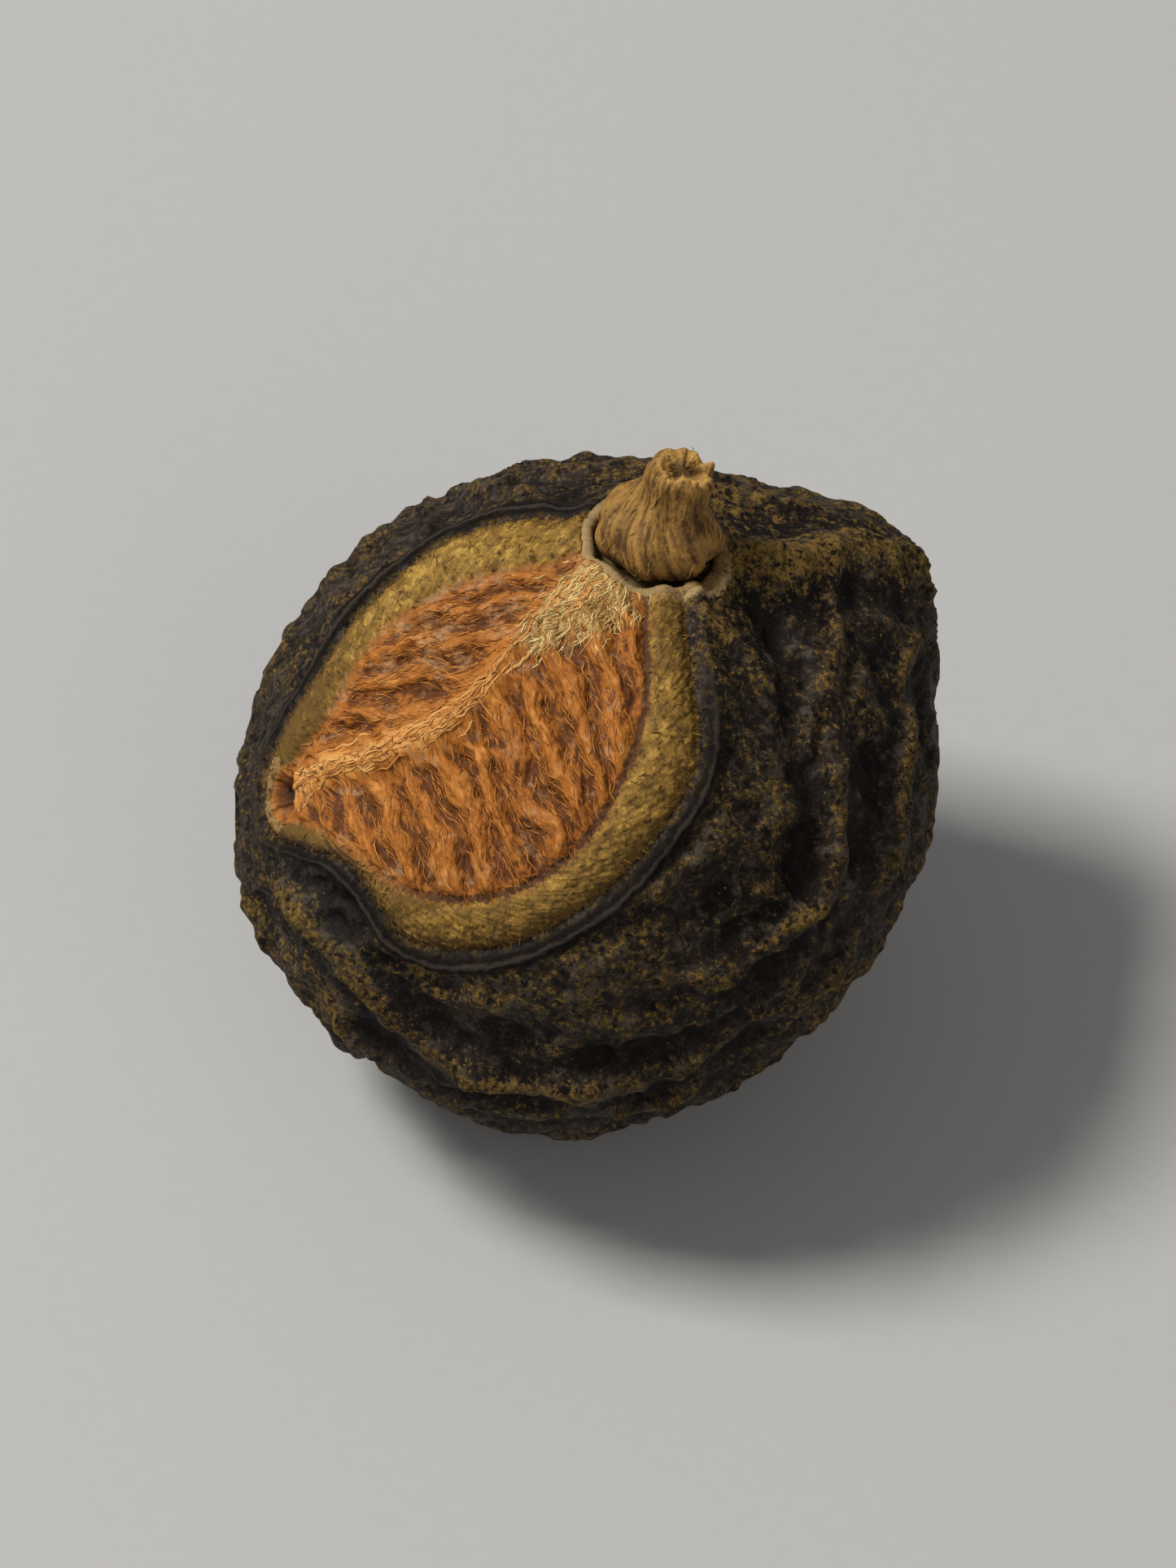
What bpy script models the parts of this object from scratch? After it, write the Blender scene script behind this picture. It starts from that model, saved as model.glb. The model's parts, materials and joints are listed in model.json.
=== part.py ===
"""A dried soapberry, lying as picked with the stub of its stalk on top.

Metres, +Z up. The origin is on the surface that the fruit lies on, under the middle of its outline.
-Y is the side where the scar shows, which runs from the stub down to the left.

Directions from the fruit's centre are given as a bearing, anticlockwise from +X, and a rise above the
horizon. Places on the skin are given as seen from the middle of the scar: a bearing, anticlockwise from
the stub, and a reach, both in degrees.
"""

import math

import bmesh
import bpy
import numpy as np
from mathutils import Vector, noise

MM = 0.001

# Body
HALF_LENGTH = 10.7 * MM
HALF_WIDTH = 10.3 * MM
MIDDLE = (0.04 * MM, 0.18 * MM)
LONG_AXIS = (19.7, 15.8)
# Swellings and dents: bearing, rise, share of the radius, spread in degrees
SWELLINGS = (
    (31.0, 23.0, 0.19, 18.0),
    (-167.6, -10.0, 0.055, 15.0),
    (-34.6, -25.5, -0.055, 26.0),
)

# Scar, where the fruit was joined to its neighbours
SCAR_CENTRE = (-125.7, 53.7)
STALK_AXIS = (36.4, 76.2)
SCAR_OUTLINE = (
    (0, 42), (25, 34), (75, 30), (110, 31), (134, 42), (145, 34.5), (160, 29), (180, 27.5), (-130, 25.5),
    (-70, 26.5), (-25, 34),
)
BORDER_OUTLINE = (
    (0, 50), (20, 48), (46, 45), (70, 39.5), (100, 39), (122, 47), (137, 49), (148, 39), (158, 32.5),
    (172, 32), (-170, 36), (-145, 35), (-115, 34), (-84, 35.5), (-60, 39), (-33, 40.5), (-12, 46),
)
SCAR_SINK = 0.55 * MM
KEEL = ((133, 42), (128, 30), (127, 23), (114, 11), (73, 7), (22, 12), (9, 25), (0, 42))
KEEL_HEIGHT = 0.40 * MM
KEEL_WIDTH = 0.60 * MM
RIB_HEIGHT = 0.16 * MM
RIB_PITCH = 1.15 * MM
RIB_SLANT = math.radians(57)
RIB_WANDER = 0.5 * MM
TIP_HOLLOW = (131, 43)
TIP_DEPTH = 0.45 * MM
TIP_WIDTH = 0.45 * MM
GROOVE_DEPTH = 0.16 * MM
GROOVE_WIDTH = 0.28 * MM
BORDER_CROWN = 0.14 * MM
LIP_HEIGHT = 0.27 * MM
LIP_WIDTH = 0.36 * MM
LIP_OFFSET = 0.40 * MM

# Folds of the skin: places on the crest, height and width in millimetres
FOLDS = (
    (((139, 60), (154, 49), (174, 46), (-171, 54), (-159, 63), (-131, 69), (-104, 74), (-83, 80)), 0.42, 0.7),
    (((170, 66), (-166, 73), (-135, 79), (-102, 81), (-75, 88)), 0.40, 0.60),
    (((-110, 54), (-95, 63), (-78, 69), (-63, 66), (-50, 64)), 0.45, 0.60),
    (((-12, 57), (-16, 68), (-18, 84), (-26, 98)), 0.50, 0.80),
    (((-28, 88), (-42, 86), (-60, 84), (-80, 87)), 0.40, 0.75),
)
# Hollows of the skin: place, depth and width in millimetres
HOLLOWS = (
    ((-165, 53), 0.45, 1.1),
    ((-143, 54), 0.40, 1.2),
    ((-90, 53), 0.50, 1.1),
    ((-46, 52), 0.40, 1.1),
    ((-28, 62), 0.45, 1.2),
)

# Wrinkles: crests across one radius, height in millimetres, how far they are drawn out round the scar
WRINKLES = ((2.7, 0.50, 1.5), (5.6, 0.28, 1.25))
WRINKLE_SEED = 11.0
CREST_ROUNDNESS = 0.08

# Flat spot that the fruit rests on, with smooth skin round it
REST_SINK = 0.32 * MM
REST_SMOOTH = (14, 30)
REST_MERGE = 0.12 * MM

# Socket that the stub stands in
SOCKET_RADIUS = 1.75 * MM
SOCKET_WALL = 0.55 * MM
SOCKET_DEPTH = 0.55 * MM
COLLAR_HEIGHT = 0.30 * MM
COLLAR_WIDTH = 0.40 * MM

# Stub of the stalk: radius and height of each ring, from its foot to its hollow end
STUB_PROFILE = (
    (1.20, 0.30), (1.58, 0.45), (1.80, 0.80), (1.86, 1.20), (1.74, 1.65), (1.42, 2.05), (1.13, 2.45),
    (1.00, 2.90), (1.01, 3.35), (0.98, 3.70), (0.80, 3.90), (0.55, 3.78),
)
STUB_PITH_HEIGHT = 3.60
STUB_SIDES = 28
STUB_LEAN = 0.32 * MM
STUB_RIBS = 7
STUB_RIB_SHARE = 0.06

CELLS = 27
CROWDING = 0.25
FINE_ROUND_STUB = 3.0 * MM
FINE_ROUND_LIP = 0.75 * MM
FINE_ROUND_TIP = 1.2 * MM
FINE_ROUND_KEEL = 0.6 * MM


def towards(bearing, rise):
    """The unit direction with this bearing and rise."""
    b, e = math.radians(bearing), math.radians(rise)
    return np.array([math.cos(b) * math.cos(e), math.sin(b) * math.cos(e), math.sin(e)])


def scar_axes():
    """Three unit vectors: towards the stub along the skin, across it, and out of the middle of the scar."""
    out = towards(*SCAR_CENTRE)
    stalk = towards(*STALK_AXIS)
    along = stalk - (stalk @ out) * out
    along /= np.linalg.norm(along)
    return along, np.cross(out, along), out


def place(bearing, reach):
    """The unit direction of a place on the skin, seen from the middle of the scar."""
    along, across, out = scar_axes()
    b, r = math.radians(bearing), math.radians(reach)
    return math.sin(r) * (math.cos(b) * along + math.sin(b) * across) + math.cos(r) * out


def bearing_and_reach(directions):
    along, across, out = scar_axes()
    bearing = np.arctan2(directions @ across, directions @ along)
    return bearing, np.arccos(np.clip(directions @ out, -1, 1))


def distance_over(directions, spot):
    """The distance over the skin from each direction to one spot."""
    return np.arccos(np.clip(directions @ spot, -1, 1)) * HALF_WIDTH


def bell(distance, width):
    return np.exp(-((distance / width) ** 2))


def smooth_step(x, low, high):
    t = np.clip((x - low) / (high - low), 0, 1)
    return t * t * (3 - 2 * t)


def closed_outline(points, bearing):
    """The reach, in radians, of a smooth closed outline through the points, at each bearing."""
    table = sorted((math.radians(b), math.radians(r)) for b, r in points)
    turn = 2 * math.pi
    b = np.array([p[0] for p in table[-2:]] + [p[0] for p in table] + [p[0] for p in table[:2]])
    b[:2] -= turn
    b[-2:] += turn
    r = np.array([p[1] for p in table[-2:] + table + table[:2]])
    slope = (r[2:] - r[:-2]) / (b[2:] - b[:-2])
    x = np.where(bearing < b[1], bearing + turn, bearing)
    i = np.clip(np.searchsorted(b, x) - 1, 1, len(b) - 3)
    step = b[i + 1] - b[i]
    t = (x - b[i]) / step
    start, end = slope[i - 1] * step, slope[np.minimum(i, len(slope) - 1)] * step
    return (
        (2 * t**3 - 3 * t**2 + 1) * r[i]
        + (t**3 - 2 * t**2 + t) * start
        + (3 * t**2 - 2 * t**3) * r[i + 1]
        + (t**3 - t**2) * end
    )


def smooth_path(points, steps=12):
    """Unit directions along a smooth open path through places on the skin."""
    knots = np.array([place(*p) for p in points])
    knots = np.vstack([2 * knots[0] - knots[1], knots, 2 * knots[-1] - knots[-2]])
    t = np.linspace(0, 1, steps, endpoint=False)[:, None]
    path = [
        0.5 * (2 * b + (c - a) * t + (2 * a - 5 * b + 4 * c - d) * t**2 + (3 * b - a - 3 * c + d) * t**3)
        for a, b, c, d in zip(knots, knots[1:], knots[2:], knots[3:])
    ]
    path = np.vstack(path + [knots[-2:-1]])
    return path / np.linalg.norm(path, axis=1)[:, None]


def nearest(directions, path):
    """For each direction: its distance to the path, its side of it (-1 or 1) and how far along it is."""
    closeness = directions @ path.T
    i = closeness.argmax(axis=1)
    tangent = np.gradient(path, axis=0)
    side = np.sign(np.einsum("ij,ij->i", np.cross(path[i], tangent[i]), directions))
    angle = np.arccos(np.clip(closeness[np.arange(len(i)), i], -1, 1))
    return angle * HALF_WIDTH, side, i / (len(path) - 1)


def noise_at(points, seed):
    return np.array([noise.noise(Vector(p) + Vector((seed, seed, seed))) for p in points])


def crests(directions, per_radius, drawn_out, seed):
    """Narrow crests with wide hollows between them, from 0 to 1, drawn out round the scar."""
    out = scar_axes()[2]
    points = directions + (drawn_out - 1) * (directions @ out)[:, None] * out
    bend = np.stack([noise_at(points * 1.7, seed + k) for k in (20, 40, 60)], axis=1)
    value = noise_at((points + 0.22 * bend) * per_radius, seed)
    return (1 - np.minimum(1, np.hypot(value, CREST_ROUNDNESS) * 1.9)) ** 1.6


def body_radius(directions):
    """The fruit's plain form: an egg with a few swellings and dents."""
    cos = directions @ towards(*LONG_AXIS)
    radius = 1 / np.sqrt((cos / HALF_LENGTH) ** 2 + (1 - cos**2) / HALF_WIDTH**2)
    for bearing, rise, share, spread in SWELLINGS:
        angle = np.arccos(np.clip(directions @ towards(bearing, rise), -1, 1))
        radius *= 1 + share * bell(angle, math.radians(spread))
    return radius


def centre():
    """The fruit's middle, low enough for the flat spot that it rests on."""
    down = np.array([[0.0, 0.0, -1.0]])
    return np.array([*MIDDLE, body_radius(down)[0] - REST_SINK])


def scar_relief(directions, bearing, reach):
    """Height of the scar, its border and its lip, and how far each place is wrinkled skin (0 to 1)."""
    edge = closed_outline(SCAR_OUTLINE, bearing)
    border = closed_outline(BORDER_OUTLINE, bearing)
    inside = np.clip(reach / edge, 0, 1)
    past_edge = (reach - edge) * HALF_WIDTH
    past_border = (reach - border) * HALF_WIDTH
    width = (border - edge) * HALF_WIDTH

    height = -SCAR_SINK * (1 - inside**2)
    keel, side, along = nearest(directions, smooth_path(KEEL))
    ends = smooth_step(along, 0.0, 0.2) * (1 - 0.4 * smooth_step(along, 0.75, 1.0))
    on_scar = 1 - smooth_step(past_edge, -0.5 * MM, 0.1 * MM)
    height += KEEL_HEIGHT * bell(keel, KEEL_WIDTH) * ends * on_scar

    x = reach * np.cos(bearing) * HALF_WIDTH
    y = reach * np.sin(bearing) * HALF_WIDTH
    across_ribs = x * math.sin(RIB_SLANT) + side * y * math.cos(RIB_SLANT)
    wander = RIB_WANDER * noise_at(directions * 7, WRINKLE_SEED)
    ribs = np.cos(2 * math.pi * (across_ribs + wander) / RIB_PITCH)
    height += RIB_HEIGHT * ribs * on_scar * smooth_step(keel, 0.4 * MM, 1.2 * MM)
    height -= TIP_DEPTH * bell(distance_over(directions, place(*TIP_HOLLOW)), TIP_WIDTH)

    height -= GROOVE_DEPTH * bell(past_edge, GROOVE_WIDTH)
    across = np.clip(past_edge / width, 0, 1)
    height += BORDER_CROWN * np.sin(math.pi * across)
    strength = 0.45 + 0.55 * smooth_step(-np.sin(bearing), -0.4, 0.4)
    height -= GROOVE_DEPTH * bell(past_border, GROOVE_WIDTH) * strength
    height += LIP_HEIGHT * bell(past_border - LIP_OFFSET, LIP_WIDTH) * strength
    return height, smooth_step(past_border, 0.0, 1.2 * MM)


def skin_relief(directions):
    """Height of the folds and wrinkles of the skin."""
    height = np.zeros(len(directions))
    for i, (per_radius, tall, drawn_out) in enumerate(WRINKLES):
        height += tall * MM * (crests(directions, per_radius, drawn_out, WRINKLE_SEED + 7 * i) - 0.4)
    for points, tall, wide in FOLDS:
        distance, _, along = nearest(directions, smooth_path(points))
        ends = smooth_step(along, 0, 0.15) * (1 - smooth_step(along, 0.85, 1))
        height += tall * MM * bell(distance, wide * MM) * ends
    for spot, deep, wide in HOLLOWS:
        height -= deep * MM * bell(distance_over(directions, place(*spot)), wide * MM)
    below = np.degrees(np.arccos(np.clip(-directions[:, 2], -1, 1)))
    return height * smooth_step(below, *REST_SMOOTH)


def seat_the_stub(directions, radius):
    """Sinks a flat socket for the stub, with a low collar round it."""
    axis = towards(*STALK_AXIS)
    cos = np.clip(directions @ axis, -1, 1)
    off_axis = radius * np.sqrt(1 - cos**2)
    floor = body_radius(axis[None])[0] - SOCKET_DEPTH
    wall = smooth_step(off_axis, SOCKET_RADIUS, SOCKET_RADIUS + SOCKET_WALL)
    wall = np.where(cos > 0, wall, 1)
    collar = COLLAR_HEIGHT * bell(off_axis - SOCKET_RADIUS - SOCKET_WALL, COLLAR_WIDTH) * (cos > 0)
    return (1 - wall) * floor / np.maximum(cos, 0.5) + wall * (radius + collar)


def fruit_radius(directions):
    bearing, reach = bearing_and_reach(directions)
    relief, skin = scar_relief(directions, bearing, reach)
    radius = body_radius(directions) + relief + skin * skin_relief(directions)
    return seat_the_stub(directions, radius)


def even_sphere(cells):
    """A ball of near even squares, closer together on the scar and halved where the relief is steepest."""
    bm = bmesh.new()
    bmesh.ops.create_cube(bm, size=2)
    bmesh.ops.subdivide_edges(bm, edges=bm.edges[:], cuts=cells - 1, use_grid_fill=True)
    grid = np.array([v.co for v in bm.verts])
    ball = np.tan(np.clip(grid, -1, 1) * math.pi / 4)
    ball /= np.linalg.norm(ball, axis=1)[:, None]
    angle = np.arccos(np.clip(ball[:, 2], -1, 1))
    drawn_in = angle - CROWDING * np.sin(angle)
    ring = np.hypot(ball[:, 0], ball[:, 1])
    scale = np.sin(drawn_in) / np.maximum(ring, 1e-9)
    local = np.stack([ball[:, 0] * scale, ball[:, 1] * scale, np.cos(drawn_in)], axis=1)
    for vertex, direction in zip(bm.verts, local @ np.array(scar_axes())):
        vertex.co = direction
    refine(bm, needs_fine_cells(directions_of(bm)))
    return bm


def directions_of(bm):
    points = np.array([v.co for v in bm.verts])
    return points / np.linalg.norm(points, axis=1)[:, None]


def needs_fine_cells(directions):
    """Whether each direction is near the stub, the scar's keel or tip, or the lip round the scar."""
    bearing, reach = bearing_and_reach(directions)
    past_border = (reach - closed_outline(BORDER_OUTLINE, bearing)) * HALF_WIDTH
    near_lip = np.abs(past_border - LIP_OFFSET / 2) < FINE_ROUND_LIP
    near_stub = distance_over(directions, towards(*STALK_AXIS)) < FINE_ROUND_STUB
    near_tip = distance_over(directions, place(*TIP_HOLLOW)) < FINE_ROUND_TIP
    near_keel = nearest(directions, smooth_path(KEEL))[0] < FINE_ROUND_KEEL
    return near_lip | near_stub | near_tip | near_keel


def refine(bm, wanted):
    """Halves the edges between the wanted corners."""
    edges = [e for e in bm.edges if all(wanted[v.index] for v in e.verts)]
    bmesh.ops.subdivide_edges(bm, edges=edges, cuts=1, use_grid_fill=True)


def material(name, colour, roughness):
    made = bpy.data.materials.new(name)
    made.use_nodes = True
    shader = made.node_tree.nodes["Principled BSDF"]
    shader.inputs["Base Color"].default_value = (*colour, 1)
    shader.inputs["Roughness"].default_value = roughness
    shader.inputs["Metallic"].default_value = 0
    return made


def add_object(name, bm, finish):
    bmesh.ops.recalc_face_normals(bm, faces=bm.faces[:])
    mesh = bpy.data.meshes.new(name)
    bm.to_mesh(mesh)
    bm.free()
    mesh.shade_smooth()
    mesh.set_sharp_from_angle(angle=math.radians(50))
    mesh.materials.append(finish)
    made = bpy.data.objects.new(name, mesh)
    bpy.context.scene.collection.objects.link(made)
    return made


def fruit():
    """The whole fruit in one piece: its skin, and the scar with its border."""
    bm = even_sphere(CELLS)
    directions = directions_of(bm)
    points = directions * fruit_radius(directions)[:, None] + centre()
    for vertex, point in zip(bm.verts, points):
        vertex.co = point
    rest_on_a_flat_spot(bm)
    return add_object("fruit", bm, material("dried_skin", (0.045, 0.038, 0.026), 0.6))


def rest_on_a_flat_spot(bm):
    """Cuts the fruit off level at z = 0 and closes the cut with one flat face."""
    everything = bm.verts[:] + bm.edges[:] + bm.faces[:]
    bmesh.ops.bisect_plane(bm, geom=everything, plane_co=(0, 0, 0), plane_no=(0, 0, 1), clear_inner=True)
    rim = [v for v in bm.verts if v.is_boundary]
    bmesh.ops.remove_doubles(bm, verts=rim, dist=REST_MERGE)
    bmesh.ops.holes_fill(bm, edges=[e for e in bm.edges if e.is_boundary])


def stub():
    """The stub of the stalk: a swollen foot, a ribbed neck and a broken end with a hollow pith."""
    axis = towards(*STALK_AXIS)
    side = np.cross(axis, (0.0, -1.0, 0.0))
    side /= np.linalg.norm(side)
    front = np.cross(axis, side)
    floor = body_radius(axis[None])[0] - SOCKET_DEPTH
    foot = centre() + axis * floor
    top = STUB_PROFILE[-1][1]

    bm = bmesh.new()
    rings = []
    for radius, height in STUB_PROFILE:
        lean = STUB_LEAN * (height / top) ** 2
        ring = []
        for i in range(STUB_SIDES):
            turn = 2 * math.pi * i / STUB_SIDES
            rib = 1 + STUB_RIB_SHARE * math.cos(STUB_RIBS * turn + 0.8 * height)
            out = radius * rib * MM * (math.cos(turn) * side + math.sin(turn) * front)
            ring.append(bm.verts.new(foot + out + axis * height * MM + side * lean))
        rings.append(ring)
    for low, high in zip(rings, rings[1:]):
        for i in range(STUB_SIDES):
            j = (i + 1) % STUB_SIDES
            bm.faces.new((low[i], low[j], high[j], high[i]))
    bm.faces.new(rings[0][::-1])
    pith = bm.verts.new(foot + axis * STUB_PITH_HEIGHT * MM + side * STUB_LEAN)
    for i in range(STUB_SIDES):
        bm.faces.new((rings[-1][i], rings[-1][(i + 1) % STUB_SIDES], pith))
    return add_object("stalk_stub", bm, material("dry_stalk", (0.30, 0.18, 0.07), 0.8))


def main():
    for old in list(bpy.data.objects):
        bpy.data.objects.remove(old)
    fruit()
    stub()


main()
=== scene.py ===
# %% [markdown]
# # A dried soapberry
# The fruit of a soapberry tree dries into a hard, wrinkled ball. It grew pressed against its
# neighbours, and where they broke apart it keeps a large almond-shaped scar of orange fibres with
# a mustard border. The stub of its stalk stands in a socket at one end of the scar.
#
# Plain solids already give the fruit and its stub their sizes. Each one could be smoothed and
# painted, but dry skin and torn fibre are all relief. So both are made again from the same
# formulas, finer, and then dressed.

# %% Load the plain solids
import json
import math

import bmesh
import bpy
import numpy as np
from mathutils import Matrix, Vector, noise

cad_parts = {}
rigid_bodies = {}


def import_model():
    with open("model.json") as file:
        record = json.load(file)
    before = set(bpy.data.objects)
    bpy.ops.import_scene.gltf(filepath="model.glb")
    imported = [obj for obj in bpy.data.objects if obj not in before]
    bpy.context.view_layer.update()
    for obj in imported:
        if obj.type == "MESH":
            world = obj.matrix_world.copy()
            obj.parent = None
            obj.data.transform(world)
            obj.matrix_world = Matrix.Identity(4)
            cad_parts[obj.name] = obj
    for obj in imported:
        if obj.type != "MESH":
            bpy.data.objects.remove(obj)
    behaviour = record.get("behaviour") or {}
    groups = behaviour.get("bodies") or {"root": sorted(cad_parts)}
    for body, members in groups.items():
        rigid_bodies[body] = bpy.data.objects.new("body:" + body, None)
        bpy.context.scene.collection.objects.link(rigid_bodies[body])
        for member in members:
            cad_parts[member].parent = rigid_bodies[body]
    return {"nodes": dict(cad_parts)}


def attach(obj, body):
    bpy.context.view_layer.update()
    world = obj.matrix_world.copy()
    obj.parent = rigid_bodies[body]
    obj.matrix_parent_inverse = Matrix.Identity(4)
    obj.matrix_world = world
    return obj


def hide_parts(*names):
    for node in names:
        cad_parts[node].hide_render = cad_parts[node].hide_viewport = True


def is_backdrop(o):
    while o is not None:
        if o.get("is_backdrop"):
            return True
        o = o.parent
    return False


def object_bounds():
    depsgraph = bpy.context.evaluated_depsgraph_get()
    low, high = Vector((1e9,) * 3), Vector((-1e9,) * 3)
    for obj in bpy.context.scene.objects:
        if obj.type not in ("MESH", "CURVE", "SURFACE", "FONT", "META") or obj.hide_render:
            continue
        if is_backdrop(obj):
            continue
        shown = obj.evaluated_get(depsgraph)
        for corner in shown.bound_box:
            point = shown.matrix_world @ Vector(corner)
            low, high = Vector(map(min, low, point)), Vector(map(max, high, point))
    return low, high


for leftover in list(bpy.data.objects):
    bpy.data.objects.remove(leftover)
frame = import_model()
cad_low, cad_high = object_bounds()
MM = 0.001
cad_box = [round(x / MM, 2) for x in (*cad_low, *cad_high)]
print("solids:", sorted(frame["nodes"]), "box in mm:", cad_box)

# %% [markdown]
# ## The fruit's plain form
# Every place on the fruit is a direction from its middle, and a radius in that direction. A ball
# could be pulled into shape by hand, but a formula gives the same form at any fineness: an egg,
# with a shoulder, a beak and a dent.

# %% Body
HALF_LENGTH = 10.7 * MM
HALF_WIDTH = 10.3 * MM
MIDDLE = (0.04 * MM, 0.18 * MM)
LONG_AXIS = (19.7, 15.8)
SWELLINGS = (
    (31.0, 23.0, 0.19, 18.0),
    (-167.6, -10.0, 0.055, 15.0),
    (-34.6, -25.5, -0.055, 26.0),
)
REST_SINK = 0.32 * MM
REST_SMOOTH = (14, 30)
TINY = 1e-6


def towards(bearing, rise):
    """The unit direction with this bearing and rise."""
    b, e = math.radians(bearing), math.radians(rise)
    return np.array([math.cos(b) * math.cos(e), math.sin(b) * math.cos(e), math.sin(e)])


def distance_over(directions, spot):
    """The distance over the skin from each direction to one spot."""
    return np.arccos(np.clip(directions @ spot, -1, 1)) * HALF_WIDTH


def unit(vectors):
    """The same directions, each one unit long."""
    return vectors / np.maximum(np.linalg.norm(vectors, axis=-1, keepdims=True), TINY)


def bell(distance, width):
    """1 in the middle, falling softly to nothing past this width."""
    return np.exp(-((distance / width) ** 2))


def smooth_step(x, low, high):
    """0 below low, 1 above high, and a smooth rise between them."""
    t = np.clip((x - low) / (high - low), 0, 1)
    return t * t * (3 - 2 * t)


def off_rest(directions):
    """0 on the flat spot that the fruit rests on, and 1 away from it."""
    below = np.degrees(np.arccos(np.clip(-directions[:, 2], -1, 1)))
    return smooth_step(below, *REST_SMOOTH)


def body_radius(directions):
    """The fruit's plain form: an egg with a few swellings and dents."""
    cos = directions @ towards(*LONG_AXIS)
    radius = 1 / np.sqrt((cos / HALF_LENGTH) ** 2 + (1 - cos**2) / HALF_WIDTH**2)
    for bearing, rise, share, spread in SWELLINGS:
        angle = np.arccos(np.clip(directions @ towards(bearing, rise), -1, 1))
        radius *= 1 + share * bell(angle, math.radians(spread))
    return radius


CENTRE = np.array([*MIDDLE, body_radius(np.array([[0.0, 0.0, -1.0]]))[0] - REST_SINK])
print("the middle is", round(CENTRE[2] / MM, 2), "mm above the surface")

# %% [markdown]
# ## Places seen from the scar
# The scar, its border and the folds round it are easiest to describe from the scar's middle: how
# far away, and in which direction from the stub. That is a map laid on the ball. A flat picture
# could be wrapped on instead, but it would stretch, and this map gives distances that the relief
# and the colours can both use.

# %% Places on the skin
SCAR_CENTRE = (-125.7, 53.7)
STALK_AXIS = (36.4, 76.2)
scar_out = towards(*SCAR_CENTRE)
stalk_axis = towards(*STALK_AXIS)
scar_along = unit(stalk_axis - (stalk_axis @ scar_out) * scar_out)
scar_across = np.cross(scar_out, scar_along)


def place(bearing, reach):
    """The unit direction of a place on the skin, seen from the middle of the scar."""
    b, r = math.radians(bearing), math.radians(reach)
    flat = math.cos(b) * scar_along + math.sin(b) * scar_across
    return math.sin(r) * flat + math.cos(r) * scar_out


def bearing_and_reach(directions):
    bearing = np.arctan2(directions @ scar_across, directions @ scar_along)
    return bearing, np.arccos(np.clip(directions @ scar_out, -1, 1))


# %% [markdown]
# ## Outlines and paths
# The scar and its border are closed outlines, and the keel and the long folds are open paths.
# Each is a smooth curve through a few places, because a handful of places is easy to correct. A
# curve drawn in Blender would do as well, but the solids' formulas need the same one as plain
# numbers.


# %% Outlines and paths
def closed_outline(points, bearing):
    """The reach, in radians, of a smooth closed outline through the points, at each bearing."""
    table = sorted((math.radians(b), math.radians(r)) for b, r in points)
    turn = 2 * math.pi
    b = np.array([p[0] for p in table[-2:]] + [p[0] for p in table] + [p[0] for p in table[:2]])
    b[:2] -= turn
    b[-2:] += turn
    r = np.array([p[1] for p in table[-2:] + table + table[:2]])
    slope = (r[2:] - r[:-2]) / (b[2:] - b[:-2])
    x = np.where(bearing < b[1], bearing + turn, bearing)
    i = np.clip(np.searchsorted(b, x) - 1, 1, len(b) - 3)
    step = b[i + 1] - b[i]
    t = (x - b[i]) / step
    start, end = slope[i - 1] * step, slope[np.minimum(i, len(slope) - 1)] * step
    return (
        (2 * t**3 - 3 * t**2 + 1) * r[i]
        + (t**3 - 2 * t**2 + t) * start
        + (3 * t**2 - 2 * t**3) * r[i + 1]
        + (t**3 - t**2) * end
    )


def smooth_curve(points, steps):
    """A smooth open curve through the points, with this many steps from one to the next."""
    knots = np.array(points)
    knots = np.vstack([2 * knots[0] - knots[1], knots, 2 * knots[-1] - knots[-2]])
    t = np.linspace(0, 1, steps, endpoint=False)[:, None]
    curve = []
    for a, b, c, d in zip(knots, knots[1:], knots[2:], knots[3:]):
        bend = (2 * a - 5 * b + 4 * c - d) * t**2 + (3 * b - a - 3 * c + d) * t**3
        curve.append(0.5 * (2 * b + (c - a) * t + bend))
    return np.vstack(curve + [knots[-2:-1]])


PATH_STEPS = 12


def smooth_path(points):
    """Unit directions along a smooth open path through places on the skin."""
    return unit(smooth_curve([place(*p) for p in points], PATH_STEPS))


def nearest(directions, path):
    """Distance to the path, side of it (-1 or 1), how far along it is, and its heading."""
    closeness = directions @ path.T
    i = closeness.argmax(axis=1)
    heading = unit(np.gradient(path, axis=0))
    side = np.sign(np.einsum("ij,ij->i", np.cross(path[i], heading[i]), directions))
    angle = np.arccos(np.clip(closeness[np.arange(len(i)), i], -1, 1))
    return angle * HALF_WIDTH, side, i / (len(path) - 1), heading[i]


# %% [markdown]
# ## The scar's relief
# The two halves of the scar slope away from a pale keel, like the two sides of a feather, with
# ribs that slant back from it. A groove parts the orange from the mustard border, and the dark
# skin stands round both as a rolled lip.

# %% Scar relief
SCAR_OUTLINE = (
    (0, 42), (25, 34), (75, 30), (110, 31), (134, 42), (145, 34.5), (160, 29), (180, 27.5),
    (-130, 25.5), (-70, 26.5), (-25, 34),
)
BORDER_OUTLINE = (
    (0, 50), (20, 48), (46, 45), (70, 39.5), (100, 39), (122, 47), (137, 49), (148, 39), (158, 32.5),
    (172, 32), (-170, 36), (-145, 35), (-115, 34), (-84, 35.5), (-60, 39), (-33, 40.5), (-12, 46),
)
SCAR_SINK = 0.55 * MM
KEEL = ((133, 42), (128, 30), (127, 23), (114, 11), (73, 7), (22, 12), (9, 25), (0, 42))
KEEL_HEIGHT = 0.40 * MM
KEEL_WIDTH = 0.60 * MM
RIB_HEIGHT = 0.16 * MM
RIB_PITCH = 1.15 * MM
RIB_SLANT = math.radians(57)
RIB_WANDER = 0.5 * MM
TIP_HOLLOW = (131, 43)
TIP_DEPTH = 0.45 * MM
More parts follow.
